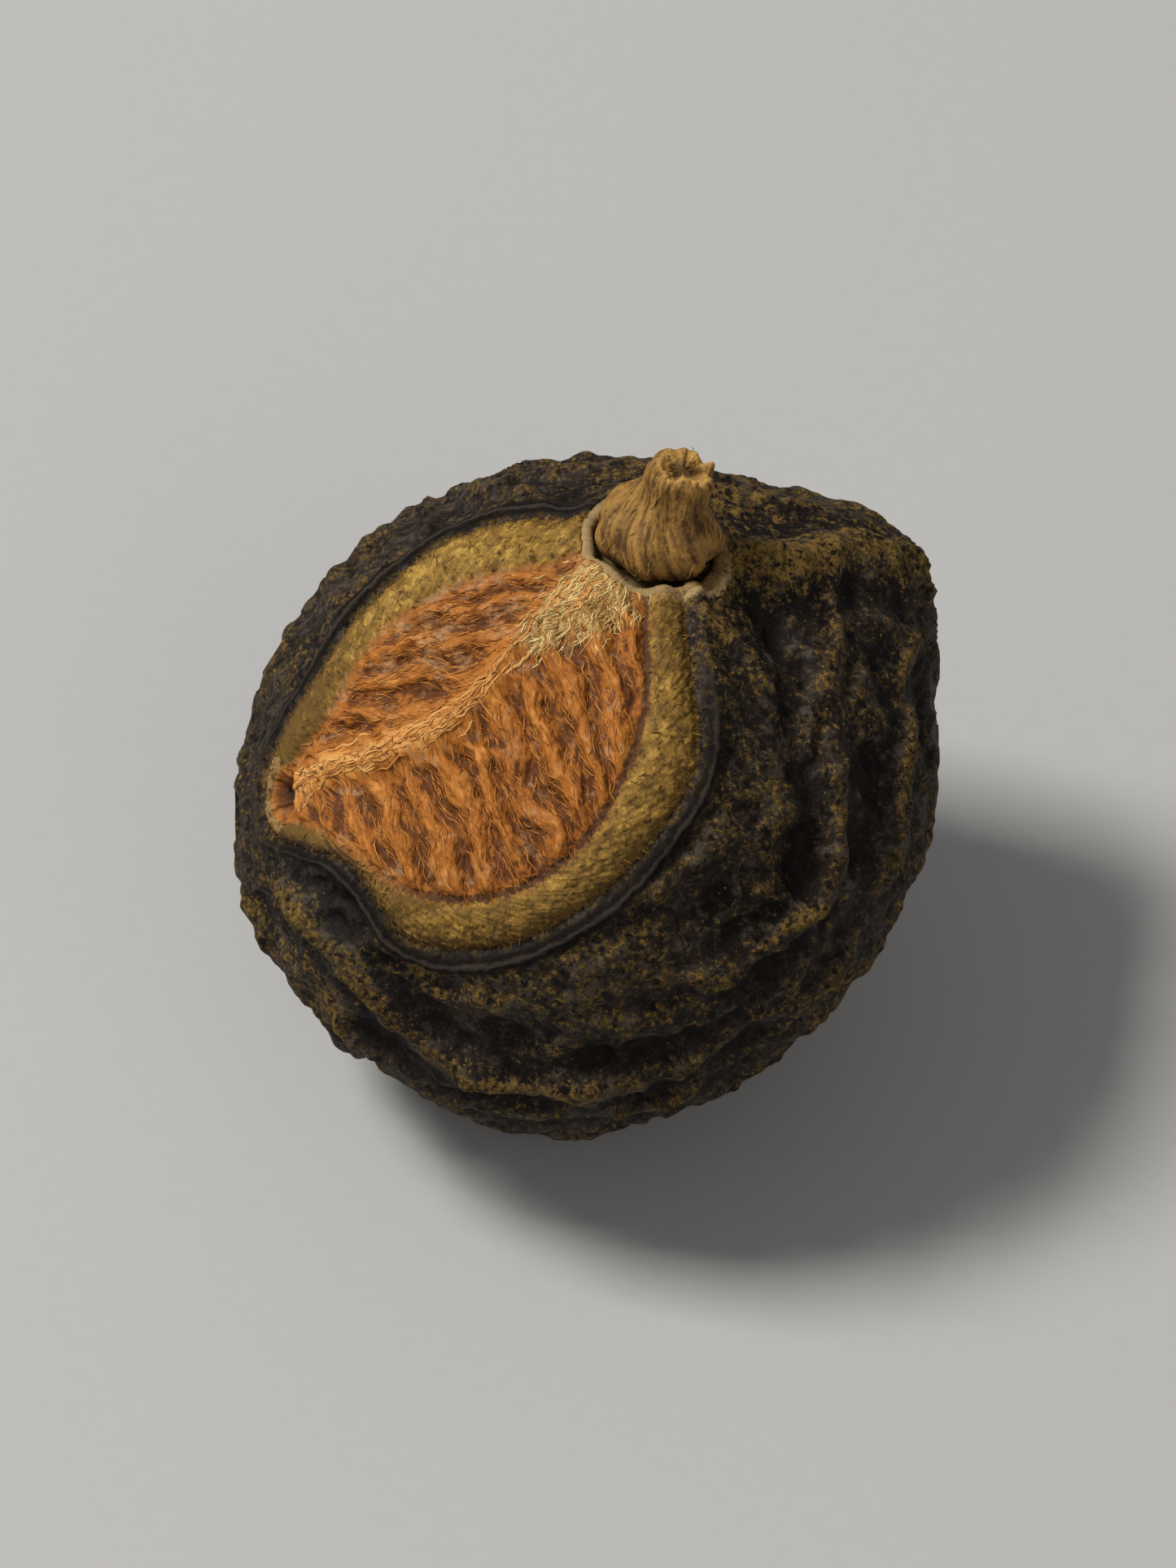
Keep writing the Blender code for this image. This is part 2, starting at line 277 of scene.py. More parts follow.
TIP_WIDTH = 0.45 * MM
GROOVE_DEPTH = 0.16 * MM
GROOVE_WIDTH = 0.28 * MM
BORDER_CROWN = 0.14 * MM
LIP_HEIGHT = 0.27 * MM
LIP_WIDTH = 0.36 * MM
LIP_OFFSET = 0.40 * MM
FACE_GAP = 40 * MM
WRINKLE_SEED = 11.0


def noise_at(points, seed):
    """Smooth noise, mostly from -0.5 to 0.5, at each point."""
    return np.array([noise.noise(Vector(p) + Vector((seed, seed, seed))) for p in points])


def scar_relief(directions):
    """Height of the scar, its border and its lip, and the distances that they are drawn from."""
    bearing, reach = bearing_and_reach(directions)
    edge = closed_outline(SCAR_OUTLINE, bearing)
    border = closed_outline(BORDER_OUTLINE, bearing)
    inside = np.clip(reach / edge, 0, 1)
    past_edge = (reach - edge) * HALF_WIDTH
    past_border = (reach - border) * HALF_WIDTH
    width = (border - edge) * HALF_WIDTH

    height = -SCAR_SINK * (1 - inside**2)
    keel, side, along, heading = nearest(directions, smooth_path(KEEL))
    ends = smooth_step(along, 0.0, 0.2) * (1 - 0.4 * smooth_step(along, 0.75, 1.0))
    on_scar = 1 - smooth_step(past_edge, -0.5 * MM, 0.1 * MM)
    height += KEEL_HEIGHT * bell(keel, KEEL_WIDTH) * ends * on_scar

    x = reach * np.cos(bearing) * HALF_WIDTH
    y = reach * np.sin(bearing) * HALF_WIDTH
    across_ribs = x * math.sin(RIB_SLANT) + side * y * math.cos(RIB_SLANT)
    wander = RIB_WANDER * noise_at(directions * 7, WRINKLE_SEED)
    ribs = np.cos(2 * math.pi * (across_ribs + wander) / RIB_PITCH)
    off_keel = smooth_step(keel, 0.4 * MM, 1.2 * MM)
    height += RIB_HEIGHT * ribs * on_scar * off_keel
    tip = distance_over(directions, place(*TIP_HOLLOW))
    height -= TIP_DEPTH * bell(tip, TIP_WIDTH)

    height -= GROOVE_DEPTH * bell(past_edge, GROOVE_WIDTH)
    across = np.clip(past_edge / width, 0, 1)
    height += BORDER_CROWN * np.sin(math.pi * across)
    lower_side = smooth_step(-np.sin(bearing), -0.4, 0.4)
    strength = 0.45 + 0.55 * lower_side
    height -= GROOVE_DEPTH * bell(past_border, GROOVE_WIDTH) * strength
    height += LIP_HEIGHT * bell(past_border - LIP_OFFSET, LIP_WIDTH) * strength

    along_ribs = x * math.cos(RIB_SLANT) - side * y * math.sin(RIB_SLANT)
    down_ribs = (
        math.cos(RIB_SLANT) * scar_along - math.sin(RIB_SLANT) * side[:, None] * scar_across
    )
    round_border = bearing * np.sin(reach) * HALF_WIDTH
    marks = dict(
        past_edge=past_edge, past_border=past_border, keel=keel, along=along, tip=tip,
        on_scar=on_scar, lower_side=lower_side, furrow=(0.5 - 0.5 * ribs) * off_keel * on_scar,
        fibre_place=np.stack([across_ribs + wander, along_ribs, side * FACE_GAP], axis=1),
        border_place=np.stack([round_border, past_edge, 0 * reach], axis=1),
        keel_flow=heading, rib_flow=down_ribs,
    )
    return height, marks


# %% [markdown]
# ## The skin's folds and wrinkles
# The skin shrank as it dried. A few long folds run round the scar, with hollows between them, and
# these are listed one by one. The wrinkles between them are noise folded into crests, which looks
# more like shrunken skin than plain noise does, and it is drawn out round the scar because the
# real wrinkles follow it.

# %% Skin relief
FOLDS = (
    (((139, 60), (154, 49), (174, 46), (-171, 54), (-159, 63), (-131, 69), (-104, 74), (-83, 80)),
     0.42, 0.70),
    (((170, 66), (-166, 73), (-135, 79), (-102, 81), (-75, 88)), 0.40, 0.60),
    (((-110, 54), (-95, 63), (-78, 69), (-63, 66), (-50, 64)), 0.45, 0.60),
    (((-12, 57), (-16, 68), (-18, 84), (-26, 98)), 0.50, 0.80),
    (((-28, 88), (-42, 86), (-60, 84), (-80, 87)), 0.40, 0.75),
)
HOLLOWS = (
    ((-165, 53), 0.45, 1.1),
    ((-143, 54), 0.40, 1.2),
    ((-90, 53), 0.50, 1.1),
    ((-46, 52), 0.40, 1.1),
    ((-28, 62), 0.45, 1.2),
)
WRINKLES = ((2.7, 0.50, 1.5), (5.6, 0.28, 1.25))
BENDS = 1.7
BENDING = 0.22
CREST_ROUNDNESS = 0.08
CREST_SLOPE = 1.9
CREST_SHARPNESS = 1.6


def crests(directions, per_radius, drawn_out, seed):
    """Narrow crests with wide hollows between them, from 0 to 1, drawn out round the scar."""
    points = directions + (drawn_out - 1) * (directions @ scar_out)[:, None] * scar_out
    bend = np.stack([noise_at(points * BENDS, seed + k) for k in (20, 40, 60)], axis=1)
    value = noise_at((points + BENDING * bend) * per_radius, seed)
    off_crest = np.minimum(1, np.hypot(value, CREST_ROUNDNESS) * CREST_SLOPE)
    return (1 - off_crest) ** CREST_SHARPNESS


def skin_relief(directions):
    """Height of the skin's folds and wrinkles, and how far each place is crest or hollow."""
    height = np.zeros(len(directions))
    crest = np.zeros(len(directions))
    valley = np.zeros(len(directions))
    hollow = np.zeros(len(directions))
    for i, (per_radius, tall, drawn_out) in enumerate(WRINKLES):
        wave = crests(directions, per_radius, drawn_out, WRINKLE_SEED + 7 * i)
        height += tall * MM * (wave - 0.4)
        crest += 0.5 * wave
    for points, tall, wide in FOLDS:
        distance, _, along, _ = nearest(directions, smooth_path(points))
        ends = smooth_step(along, 0, 0.15) * (1 - smooth_step(along, 0.85, 1))
        height += tall * MM * bell(distance, wide * MM) * ends
        crest += 0.6 * bell(distance, 0.6 * wide * MM) * ends
        beside = bell(distance, 2.2 * wide * MM) * (1 - bell(distance, 1.1 * wide * MM)) * ends
        valley = np.maximum(valley, beside * 2)
    for spot, deep, wide in HOLLOWS:
        dip = bell(distance_over(directions, place(*spot)), wide * MM)
        height -= deep * MM * dip
        hollow += dip
    valley = np.minimum(np.maximum(valley, hollow), 1)
    return height * off_rest(directions), crest, valley, np.minimum(hollow, 1)


# %% [markdown]
# ## The socket
# The stub doesn't grow out of the skin like a bump: it stands in a socket with a low pale collar
# round it. The socket is sunk by the same formula as the rest, so skin and scar both dip into it.

# %% Socket and whole form
SOCKET_RADIUS = 1.75 * MM
SOCKET_WALL = 0.55 * MM
SOCKET_DEPTH = 0.55 * MM
COLLAR_HEIGHT = 0.30 * MM
COLLAR_WIDTH = 0.40 * MM
COLLAR_PLACE = (-12, 49)
COLLAR_REACH = 2.2 * MM
FAR_AWAY = 1.0
STALK_SURFACE = body_radius(stalk_axis[None])[0]
SOCKET_FLOOR = STALK_SURFACE - SOCKET_DEPTH


def seat_the_stub(directions, radius):
    """Sinks a flat socket for the stub, with a low collar round it."""
    cos = np.clip(directions @ stalk_axis, -1, 1)
    off_axis = radius * np.sqrt(1 - cos**2)
    wall = smooth_step(off_axis, SOCKET_RADIUS, SOCKET_RADIUS + SOCKET_WALL)
    wall = np.where(cos > 0, wall, 1)
    collar = bell(off_axis - SOCKET_RADIUS - SOCKET_WALL, COLLAR_WIDTH) * (cos > 0)
    floor = SOCKET_FLOOR / np.maximum(cos, 0.5)
    seated = (1 - wall) * floor + wall * (radius + COLLAR_HEIGHT * collar)
    foot_of_wall = SOCKET_RADIUS + 0.3 * SOCKET_WALL
    socket = 1 - smooth_step(off_axis, foot_of_wall, SOCKET_RADIUS + SOCKET_WALL)
    return seated, collar, socket * (cos > 0), np.where(cos > 0, off_axis, FAR_AWAY)


def fruit_form(directions):
    """The fruit's radius in each direction, and the marks that its pieces are dressed by."""
    relief, marks = scar_relief(directions)
    folds, crest, valley, hollow = skin_relief(directions)
    wrinkled = smooth_step(marks["past_border"], 0.0, 1.2 * MM)
    radius = body_radius(directions) + relief + wrinkled * folds
    radius, collar, socket, off_stub = seat_the_stub(directions, radius)
    pale_side = bell(distance_over(directions, place(*COLLAR_PLACE)), COLLAR_REACH)
    collar = collar * np.maximum(pale_side, 0.25)
    marks.update(crest=crest, valley=valley, hollow=hollow, wrinkled=wrinkled)
    marks.update(collar=collar, socket=socket, off_stub=off_stub)
    return radius, marks


solid_points = np.array([v.co for v in frame["nodes"]["fruit"].data.vertices])
rays = solid_points - CENTRE
lengths = np.linalg.norm(rays, axis=1)
formula, _ = fruit_form(rays / lengths[:, None])
above_rest = solid_points[:, 2] > 0.01 * MM
gap = np.abs(formula - lengths)[above_rest]
print(f"formula against solid: mean gap {gap.mean() / MM:.4f} mm, largest {gap.max() / MM:.3f} mm")

# %% [markdown]
# ## Node graphs from plain expressions
# Materials and Geometry Nodes are both graphs of small sums. Laying out each node by hand hides
# the sum, so one small class wraps a socket and lets Python's own operators add the nodes: `1 -
# mask * 0.5` reads as it is meant.


# %% Wires and graphs
class Wire:
    """A socket's value, which works in sums like a number."""

    def __init__(self, graph, socket):
        self.graph = graph
        self.socket = socket

    def sum_with(self, operation, other, flipped=False):
        pair = (other, self) if flipped else (self, other)
        if any(isinstance(p, Wire) and p.socket.type == "VECTOR" for p in pair):
            return self.graph.vector(operation, *pair)
        return self.graph.math(operation, *pair)

    def __add__(self, other):
        return self.sum_with("ADD", other)

    def __radd__(self, other):
        return self.sum_with("ADD", other, True)

    def __sub__(self, other):
        return self.sum_with("SUBTRACT", other)

    def __rsub__(self, other):
        return self.sum_with("SUBTRACT", other, True)

    def __mul__(self, other):
        return self.sum_with("MULTIPLY", other)

    def __rmul__(self, other):
        return self.sum_with("MULTIPLY", other, True)

    def __truediv__(self, other):
        return self.sum_with("DIVIDE", other)

    def __pow__(self, power):
        return self.graph.math("POWER", self, power)

    def smooth(self, low, high):
        """0 below low, 1 above high, and a smooth rise between them."""
        sockets = {"Value": self, "From Min": low, "From Max": high}
        return self.graph.add("ShaderNodeMapRange", {"interpolation_type": "SMOOTHSTEP"}, sockets)

    def output(self, name):
        """Another output of the same node."""
        outputs = self.socket.node.outputs
        return Wire(self.graph, next(s for s in outputs if s.name == name and s.enabled))


class Graph:
    """A material's or a geometry's nodes, added one expression at a time."""

    def __init__(self, tree):
        self.tree = tree

    def add(self, kind, settings=None, sockets=None):
        """A node of this kind: its settings first, then the values or wires of its sockets."""
        node = self.tree.nodes.new(kind)
        for name, value in (settings or {}).items():
            if name == "stops":
                self.set_stops(node.color_ramp, value)
            else:
                setattr(node, name, value)
        for name, value in (sockets or {}).items():
            socket = next(s for s in node.inputs if s.enabled and name in (s.name, s.identifier))
            if isinstance(value, Wire):
                self.tree.links.new(value.socket, socket)
            else:
                socket.default_value = value
        return Wire(self, next(s for s in node.outputs if s.enabled))

    def set_stops(self, ramp, stops):
        while len(ramp.elements) < len(stops):
            ramp.elements.new(1.0)
        for element, (position, colour) in zip(ramp.elements, stops):
            element.position = position
            element.color = (*colour, 1)

    def math(self, operation, *values):
        node = self.tree.nodes.new("ShaderNodeMath")
        node.operation = operation
        return self.fill(node, node.inputs, values)

    def vector(self, operation, a, b):
        node = self.tree.nodes.new("ShaderNodeVectorMath")
        numbers = [v for v in (a, b) if not self.is_vector(v)]
        if operation == "MULTIPLY" and numbers:
            node.operation = "SCALE"
            place = a if self.is_vector(a) else b
            sockets = (node.inputs["Vector"], node.inputs["Scale"])
            return self.fill(node, sockets, (place, numbers[0]))
        node.operation = operation
        return self.fill(node, node.inputs, (a, b))

    def is_vector(self, value):
        if isinstance(value, Wire):
            return value.socket.type == "VECTOR"
        return isinstance(value, tuple)

    def fill(self, node, sockets, values):
        for socket, value in zip(sockets, values):
            if isinstance(value, Wire):
                self.tree.links.new(value.socket, socket)
            else:
                socket.default_value = value
        return Wire(self, next(s for s in node.outputs if s.enabled))

    def blend(self, factor, low, high):
        """A colour between two others."""
        def as_colour(c):
            return (*c, 1) if isinstance(c, tuple) else c

        sockets = {"Factor": factor, "A": as_colour(low), "B": as_colour(high)}
        return self.add("ShaderNodeMix", {"data_type": "RGBA"}, sockets)

    def noise(self, where, size, detail=2.0, roughness=0.5, shift=None):
        """Cloudy noise from 0 to 1; its blobs are about this size, in the place's units."""
        if shift is not None:
            where = where + self.three(shift)
        sockets = {"Vector": where, "Scale": 1 / size, "Detail": detail, "Roughness": roughness}
        return self.add("ShaderNodeTexNoise", {"noise_dimensions": "3D"}, sockets)

    def cells(self, where):
        """Pebbles of about one unit: 0 at each pebble's middle and 1 towards its edge."""
        sockets = {"Vector": where, "Scale": 1.0}
        return self.add("ShaderNodeTexVoronoi", {"feature": "F1"}, sockets)

    def streaks(self, where, size, detail, roughness=0.5):
        """Noise drawn out: the place is divided by a different size in each direction."""
        return self.noise(self.vector("DIVIDE", where, size), 1.0, detail, roughness)

    def three(self, value):
        """The same number in all three directions."""
        return self.add("ShaderNodeCombineXYZ", None, {"X": value, "Y": value, "Z": value})


# %% [markdown]
# ## Finishes
# Each finish is worked out from the place on the fruit and from marks that the pieces carry, such
# as how far a point lies past the scar's edge. A photograph could be laid on, but it would bring
# its own light and shadows with it.


# %% A finish to build on
class Finish(Graph):
    """A material whose colour, roughness and fine bumps are sums of places and marks."""

    def __init__(self, name):
        self.material = bpy.data.materials.new(name)
        self.material.use_nodes = True
        super().__init__(self.material.node_tree)
        self.surface = self.tree.nodes["Principled BSDF"]
        self.surface.inputs["Specular IOR Level"].default_value = 0.25

    def mark(self, name):
        """A mark that the piece carries at each of its points."""
        return self.add("ShaderNodeAttribute", {"attribute_name": name}).output("Fac")

    def marked_place(self, name):
        """A place that the piece carries at each of its points, in millimetres."""
        place = self.add("ShaderNodeAttribute", {"attribute_name": name}).output("Vector")
        return place * 1000.0

    def place_mm(self):
        return self.add("ShaderNodeTexCoord").output("Object") * 1000.0

    def complete(self, colour, roughness, bump=None, depth=0.03 * MM):
        inputs = self.surface.inputs
        self.tree.links.new(colour.socket, inputs["Base Color"])
        if isinstance(roughness, Wire):
            self.tree.links.new(roughness.socket, inputs["Roughness"])
        else:
            inputs["Roughness"].default_value = roughness
        if bump is not None:
            sockets = {"Height": bump, "Strength": 1.0, "Distance": depth}
            normal = self.add("ShaderNodeBump", None, sockets)
            self.tree.links.new(normal.socket, inputs["Normal"])
        return self.material


# %% [markdown]
# ## The skin's finish
# Dry skin is charcoal with an ashen bloom, and every crest is rubbed to mustard or olive. Small
# flecks of both sit in each other, so the two are mixed by fine noise whose threshold moves:
# crests and olive patches let more mustard through. Crests are also lightened a little as painted
# highlight, and the valleys and hollows between folds are darkened as painted shade. Dark pores
# break the flecks up. Along the rolled lip a thin grey painted highlight runs between two nearly
# black bands of painted shade, and the collar round the stub is straw.


# %% Skin finish
COAL = (0.0040, 0.0026, 0.0020)
CHARCOAL = (0.019, 0.0125, 0.0080)
ASH = (0.056, 0.043, 0.034)
OLIVE = (0.046, 0.029, 0.008)
MUSTARD = (0.165, 0.098, 0.024)
TORN_BROWN = (0.34, 0.20, 0.075)
STRAW = (0.40, 0.28, 0.13)


def skin_finish():
    g = Finish("Dried skin")
    where = g.place_mm()
    olive, crest, valley = g.mark("olive"), g.mark("crest"), g.mark("valley")
    speck = g.noise(where, 0.40, 5.0, 0.72)
    grit = g.noise(where, 0.17, 3.0, 0.7, shift=3.1)
    ashen = g.noise(where, 0.55, 5.0, 0.75, shift=7.3)
    cloud = g.noise(where, 2.2, 2.0)
    fine = speck * 0.6 + grit * 0.4
    # Crests and wrinkle ridges are lighter, partly from the mustard rubbed on them and partly as
    # painted highlight; valleys and hollows are darker as painted shade.
    high = g.mark("ridge") * 0.05 + crest * 0.14 - valley * 0.10
    dark = g.blend((fine + high).smooth(0.42, 0.60), COAL, CHARCOAL)
    dark = g.blend((ashen + high * 0.6).smooth(0.52, 0.68), dark, ASH)
    let_through = fine + high + olive * 0.08 + (cloud - 0.5) * 0.20
    fleck = let_through.smooth(0.565, 0.695)
    rubbed = g.blend((grit + olive * 0.1).smooth(0.45, 0.68), OLIVE, MUSTARD)
    colour = g.blend(fleck, dark, rubbed)
    pores = g.noise(where, 0.30, 3.0, 0.7, shift=11.9)
    colour = g.blend(1 - pores.smooth(0.36, 0.50), colour, COAL)

    # Painted shade and highlight on the rolled lip: a nearly black band of painted shade on each
    # side of a thin grey painted highlight along its crest.
    off_lip = g.math("ABSOLUTE", g.mark("from_lip") * 1000.0 + (speck - 0.5) * 0.35)
    lip = g.mark("lip_strength")
    lip_shade = (1 - off_lip.smooth(0.14, 0.40)) * lip
    lip_highlight = (1 - off_lip.smooth(0.01, 0.11)) * lip
    colour = g.blend(lip_shade * (0.45 + grit), colour, COAL)
    colour = g.blend(lip_highlight * (0.1 + grit), colour, ASH)
    colour = g.blend(g.mark("tip_rim") * (0.2 + grit), colour, TORN_BROWN)
    colour = g.blend((g.mark("collar") * (0.4 + grit)).smooth(0.45, 0.80) * 0.8, colour, STRAW)
    g.surface.inputs["Specular IOR Level"].default_value = 0.14
    roughness = 0.62 + 0.15 * fleck + 0.2 * lip_shade
    return g.complete(colour, roughness, fine + g.mark("pebble") * 0.1, 0.09 * MM)


# %% [markdown]
# ## The scar's finish
# The torn faces of the scar are burnt orange: pale on the fibres that stand proud and rusty in the
# furrows between them, partly as painted highlight and painted shade, and fuzzy in places, a
# little more on the side that faces the light as painted light. The colour follows the fibres, so
# its noise is drawn out along them. Beside the stub a wedge of cream fibre was left behind. The
# mustard border has streaks that run outwards and an outer edge that is torn dark, and it is
# painted lighter on the side that faces the light. It dulls towards the scar's tip, where a rusty
# hollow has a torn brown rim and a middle darkened as painted shade. A dark line of painted shade
# runs along the groove, stronger on the lower side, and the socket is painted dark brown as
# painted shade. The two parts are worked out by two functions and laid together by how far a
# place is past the scar's edge.


# %% Scar finish
RUST = (0.100, 0.030, 0.005)
BURNT_ORANGE = (0.34, 0.112, 0.013)
APRICOT = (0.56, 0.235, 0.048)
KEEL_PALE = (0.62, 0.32, 0.095)
FUZZ = (0.46, 0.29, 0.15)
CREAM = (0.44, 0.30, 0.115)
UMBER = (0.030, 0.012, 0.005)
SOCKET_SHADE = (0.110, 0.075, 0.036)
MUSTARD_DEEP = (0.055, 0.030, 0.006)
MUSTARD_SHADE = (0.125, 0.068, 0.011)
MUSTARD_BAND = (0.24, 0.132, 0.022)
MUSTARD_LIGHT = (0.42, 0.255, 0.054)


def torn_faces(g, where, grit, streak):
    """The colour of the scar's two faces."""
    fibre = g.marked_place("fibre_place")
    keel = g.mark("keel_share")
    tuft = g.streaks(fibre, (0.34, 0.60, 1.0), 3.0, 0.6)
    blotch = g.noise(where, 1.6, 2.0)
    # Raised fibres are lighter and the rib furrows darker: partly painted highlight and painted
    # shade, mixed with the fibres' own streaks.
    height = streak * 0.50 + tuft * 0.60 + g.mark("relief") * 0.34 + (blotch - 0.5) * 0.40
    height = height - g.mark("furrow") * 0.22 + keel * 0.34
    torn = g.blend(height.smooth(0.34, 0.54), RUST, BURNT_ORANGE)
    torn = g.blend(height.smooth(0.52, 0.80), torn, APRICOT)
    fuzz = g.noise(where, 0.75, 5.0, 0.75, shift=5.7)
    # On the side that faces the light the pale fuzz is a little stronger, as painted light.
    fuzzy = (fuzz + streak * 0.2 + g.mark("sunny") * 0.12).smooth(0.62, 0.82)
    torn = g.blend(fuzzy * 0.6, torn, FUZZ)
    torn = g.blend((keel * 1.2 + streak * 0.4).smooth(0.6, 1.2) * 0.7, torn, KEEL_PALE)
    cream = g.blend((streak + grit * 0.4).smooth(0.54, 0.82), BURNT_ORANGE, CREAM)
    creamy = (g.mark("cream") + (streak - 0.5) * 0.9).smooth(0.30, 0.60)
    return g.blend(creamy, torn, cream)


def mustard_border(g, where, grit, ray):
    """The colour of the border round the scar."""
    past_border = g.mark("past_border") * 1000.0
    sunny, dull = g.mark("sunny"), g.mark("dull")
    speck = g.noise(where, 0.30, 3.0, 0.7)
    mottle = g.noise(where, 0.60, 4.0, 0.75, shift=9.1)
    # Where the border's grain stands proud it is lighter: painted highlight.
    level = ray * 0.30 + speck * 0.45 + grit * 0.25 + g.mark("relief") * 0.18
    # Painted light: the border is lighter on the side that faces the light.
    level = level + (mottle - 0.5) * 0.7 + sunny * 0.10
    level = level - past_border.smooth(-1.0, -0.1) * 0.08 - dull * 0.20
    band = g.blend(level.smooth(0.42, 0.56), MUSTARD_SHADE, MUSTARD_BAND)
    band = g.blend(level.smooth(0.56, 0.70), band, MUSTARD_LIGHT)
    band = g.blend(1 - (speck + grit * 0.4).smooth(0.50, 0.62), band, MUSTARD_DEEP)
    torn_dark = (past_border + ray * 1.8 + sunny * 0.15 + dull * 0.50).smooth(0.62, 1.05)
    return g.blend(torn_dark * 0.9, band, UMBER)


def scar_finish():
    g = Finish("Scar fibre")
    where = g.place_mm()
    grit = g.noise(where, 0.12, 3.0, 0.6)
    streak = g.streaks(g.marked_place("fibre_place"), (0.14, 0.5, 1.0), 3.0, 0.6)
    ray = g.streaks(g.marked_place("border_place"), (0.16, 0.70, 1.0), 3.0, 0.6)
    past_edge = g.mark("past_edge") * 1000.0
    near_tip, tip_rim = g.mark("tip_share"), g.mark("tip_rim")
    on_band = (past_edge + (ray - 0.5) * 0.5 - near_tip * 1.6).smooth(-0.05, 0.25)
    torn = torn_faces(g, where, grit, streak)
    colour = g.blend(on_band, torn, mustard_border(g, where, grit, ray))

    # Painted shade: a dark line along the groove between the torn faces and the border, stronger on
    # the lower side.
    off_groove = g.math("ABSOLUTE", past_edge + (grit - 0.5) * 0.3)
    groove = (1 - off_groove.smooth(0.06, 0.20)) * (0.2 + 0.65 * g.mark("lower_side"))
    colour = g.blend(groove, colour, UMBER)
    colour = g.blend((near_tip + streak * 0.5).smooth(0.60, 1.10), colour, RUST)
    # Painted shade: the middle of the tip's hollow is darkened to umber.
    colour = g.blend((near_tip + grit * 0.4).smooth(0.95, 1.20), colour, UMBER)
    colour = g.blend((tip_rim + grit * 1.2).smooth(0.90, 1.60) * 0.8, colour, TORN_BROWN)
    collar = (g.mark("collar") * (0.3 + grit)).smooth(0.4, 0.8)
    colour = g.blend(collar * 0.8, colour, STRAW)
    # Painted shade: the sunk socket round the stub is painted dark brown.
    colour = g.blend(g.mark("socket") * (1 - grit * 0.4), colour, SOCKET_SHADE)
    bump = streak * (1 - on_band) + ray * on_band + grit * 0.3
    return g.complete(colour, 0.72, bump, 0.05 * MM)


# %% [markdown]
# ## Finishes of strands and stalk
# Loose fibres take their colour from a number that each strand carries, so neighbours differ as
# real ones do. The stalk is tan and streaked at a slant, a little lighter where its grain stands
# proud and darker in its furrows as painted highlight and shade, and its broken end is golden with
# a dark middle. The rim of its socket takes the same finish, with a mark that turns it to pale
# cork, and a mark of painted shade darkens the stub's foot in its socket and the rim away from its
# pale side.


# %% Strand and stalk finishes
def strand_finish(name, stops, roughness=0.7):
    g = Finish(name)
    tint = g.mark("tint") * 0.8 + 0.2 * g.noise(g.place_mm(), 0.25, 2.0)
    colour = g.add("ShaderNodeValToRGB", {"stops": stops}, {"Fac": tint})
    return g.complete(colour, roughness)


BARK = (0.075, 0.034, 0.009)
TAN = (0.32, 0.170, 0.037)
STALK_LIGHT = (0.50, 0.31, 0.098)
GOLD = (0.52, 0.31, 0.085)


def stalk_finish():
    g = Finish("Dry stalk")
    where = g.place_mm()
    streak = g.streaks(g.marked_place("stalk_place"), (0.16, 1.1, 1.0), 3.0, 0.6)
    grit = g.noise(where, 0.12, 3.0)
    blotch = g.noise(where, 0.9, 2.0)
    # Where the stalk's grain stands proud it is lighter and its furrows darker: painted highlight
    # and shade.
    level = streak * 0.6 + grit * 0.25 + blotch * 0.25 + g.mark("relief") * 0.3
    colour = g.blend(level.smooth(0.42, 0.68), BARK, TAN)
    colour = g.blend(level.smooth(0.68, 0.95), colour, STALK_LIGHT)
    broken, pith = g.mark("broken"), g.mark("pith")
    colour = g.blend(broken * 0.85, colour, g.blend(grit.smooth(0.3, 0.7), TAN, GOLD))
    colour = g.blend(pith * (0.5 + 0.5 * grit), colour, UMBER)
    colour = g.blend((g.mark("cork") + grit * 0.5).smooth(0.55, 1.05) * 0.9, colour, STRAW)
    # Painted shade: the shaded mark darkens the stub's foot low in its socket, and the rim away from
    # its pale side.
    colour = g.blend(g.mark("shaded") * (0.6 + 0.4 * grit), colour, UMBER)
    return g.complete(colour, 0.68, streak + grit * 0.4, 0.05 * MM)


FACET_STOPS = ((0.0, RUST), (0.4, BURNT_ORANGE), (0.85, APRICOT), (1.0, (0.62, 0.33, 0.10)))
KEEL_STOPS = ((0.0, BURNT_ORANGE), (0.4, (0.56, 0.27, 0.07)), (1.0, (0.72, 0.43, 0.15)))
CREAM_STOPS = ((0.0, (0.18, 0.075, 0.015)), (0.5, (0.46, 0.30, 0.10)), (1.0, (0.86, 0.70, 0.34)))
BORDER_STOPS = ((0.0, UMBER), (0.45, MUSTARD_SHADE), (0.8, MUSTARD_BAND), (1.0, MUSTARD_LIGHT))
STALK_STOPS = ((0.0, BARK), (0.5, TAN), (1.0, STALK_LIGHT))
FLAKE_STOPS = ((0.0, CHARCOAL), (0.45, OLIVE), (0.85, MUSTARD), (1.0, STRAW))
finishes = {
    "skin": skin_finish(),
    "scar": scar_finish(),
    "facet": strand_finish("Facet fibre", FACET_STOPS),
    "keel": strand_finish("Keel fibre", KEEL_STOPS),
    "cream": strand_finish("Cream fibre", CREAM_STOPS),
    "border": strand_finish("Border fibre", BORDER_STOPS),
    "stalk": stalk_finish(),
    "stalk_fibre": strand_finish("Stalk fibre", STALK_STOPS),
    "flake": strand_finish("Skin flake", FLAKE_STOPS),
}
print("finishes:", ", ".join(m.name for m in finishes.values()))


# %% [markdown]
# ## Running Geometry Nodes once
# A tree does its work as a modifier, and what is kept is the plain mesh that it makes. So each
# run lays a mesh under a modifier, sets the tree's inputs, takes the result and throws the
# modifier away.


# %% Geometry trees
PER_SQUARE_METRE = 1e6


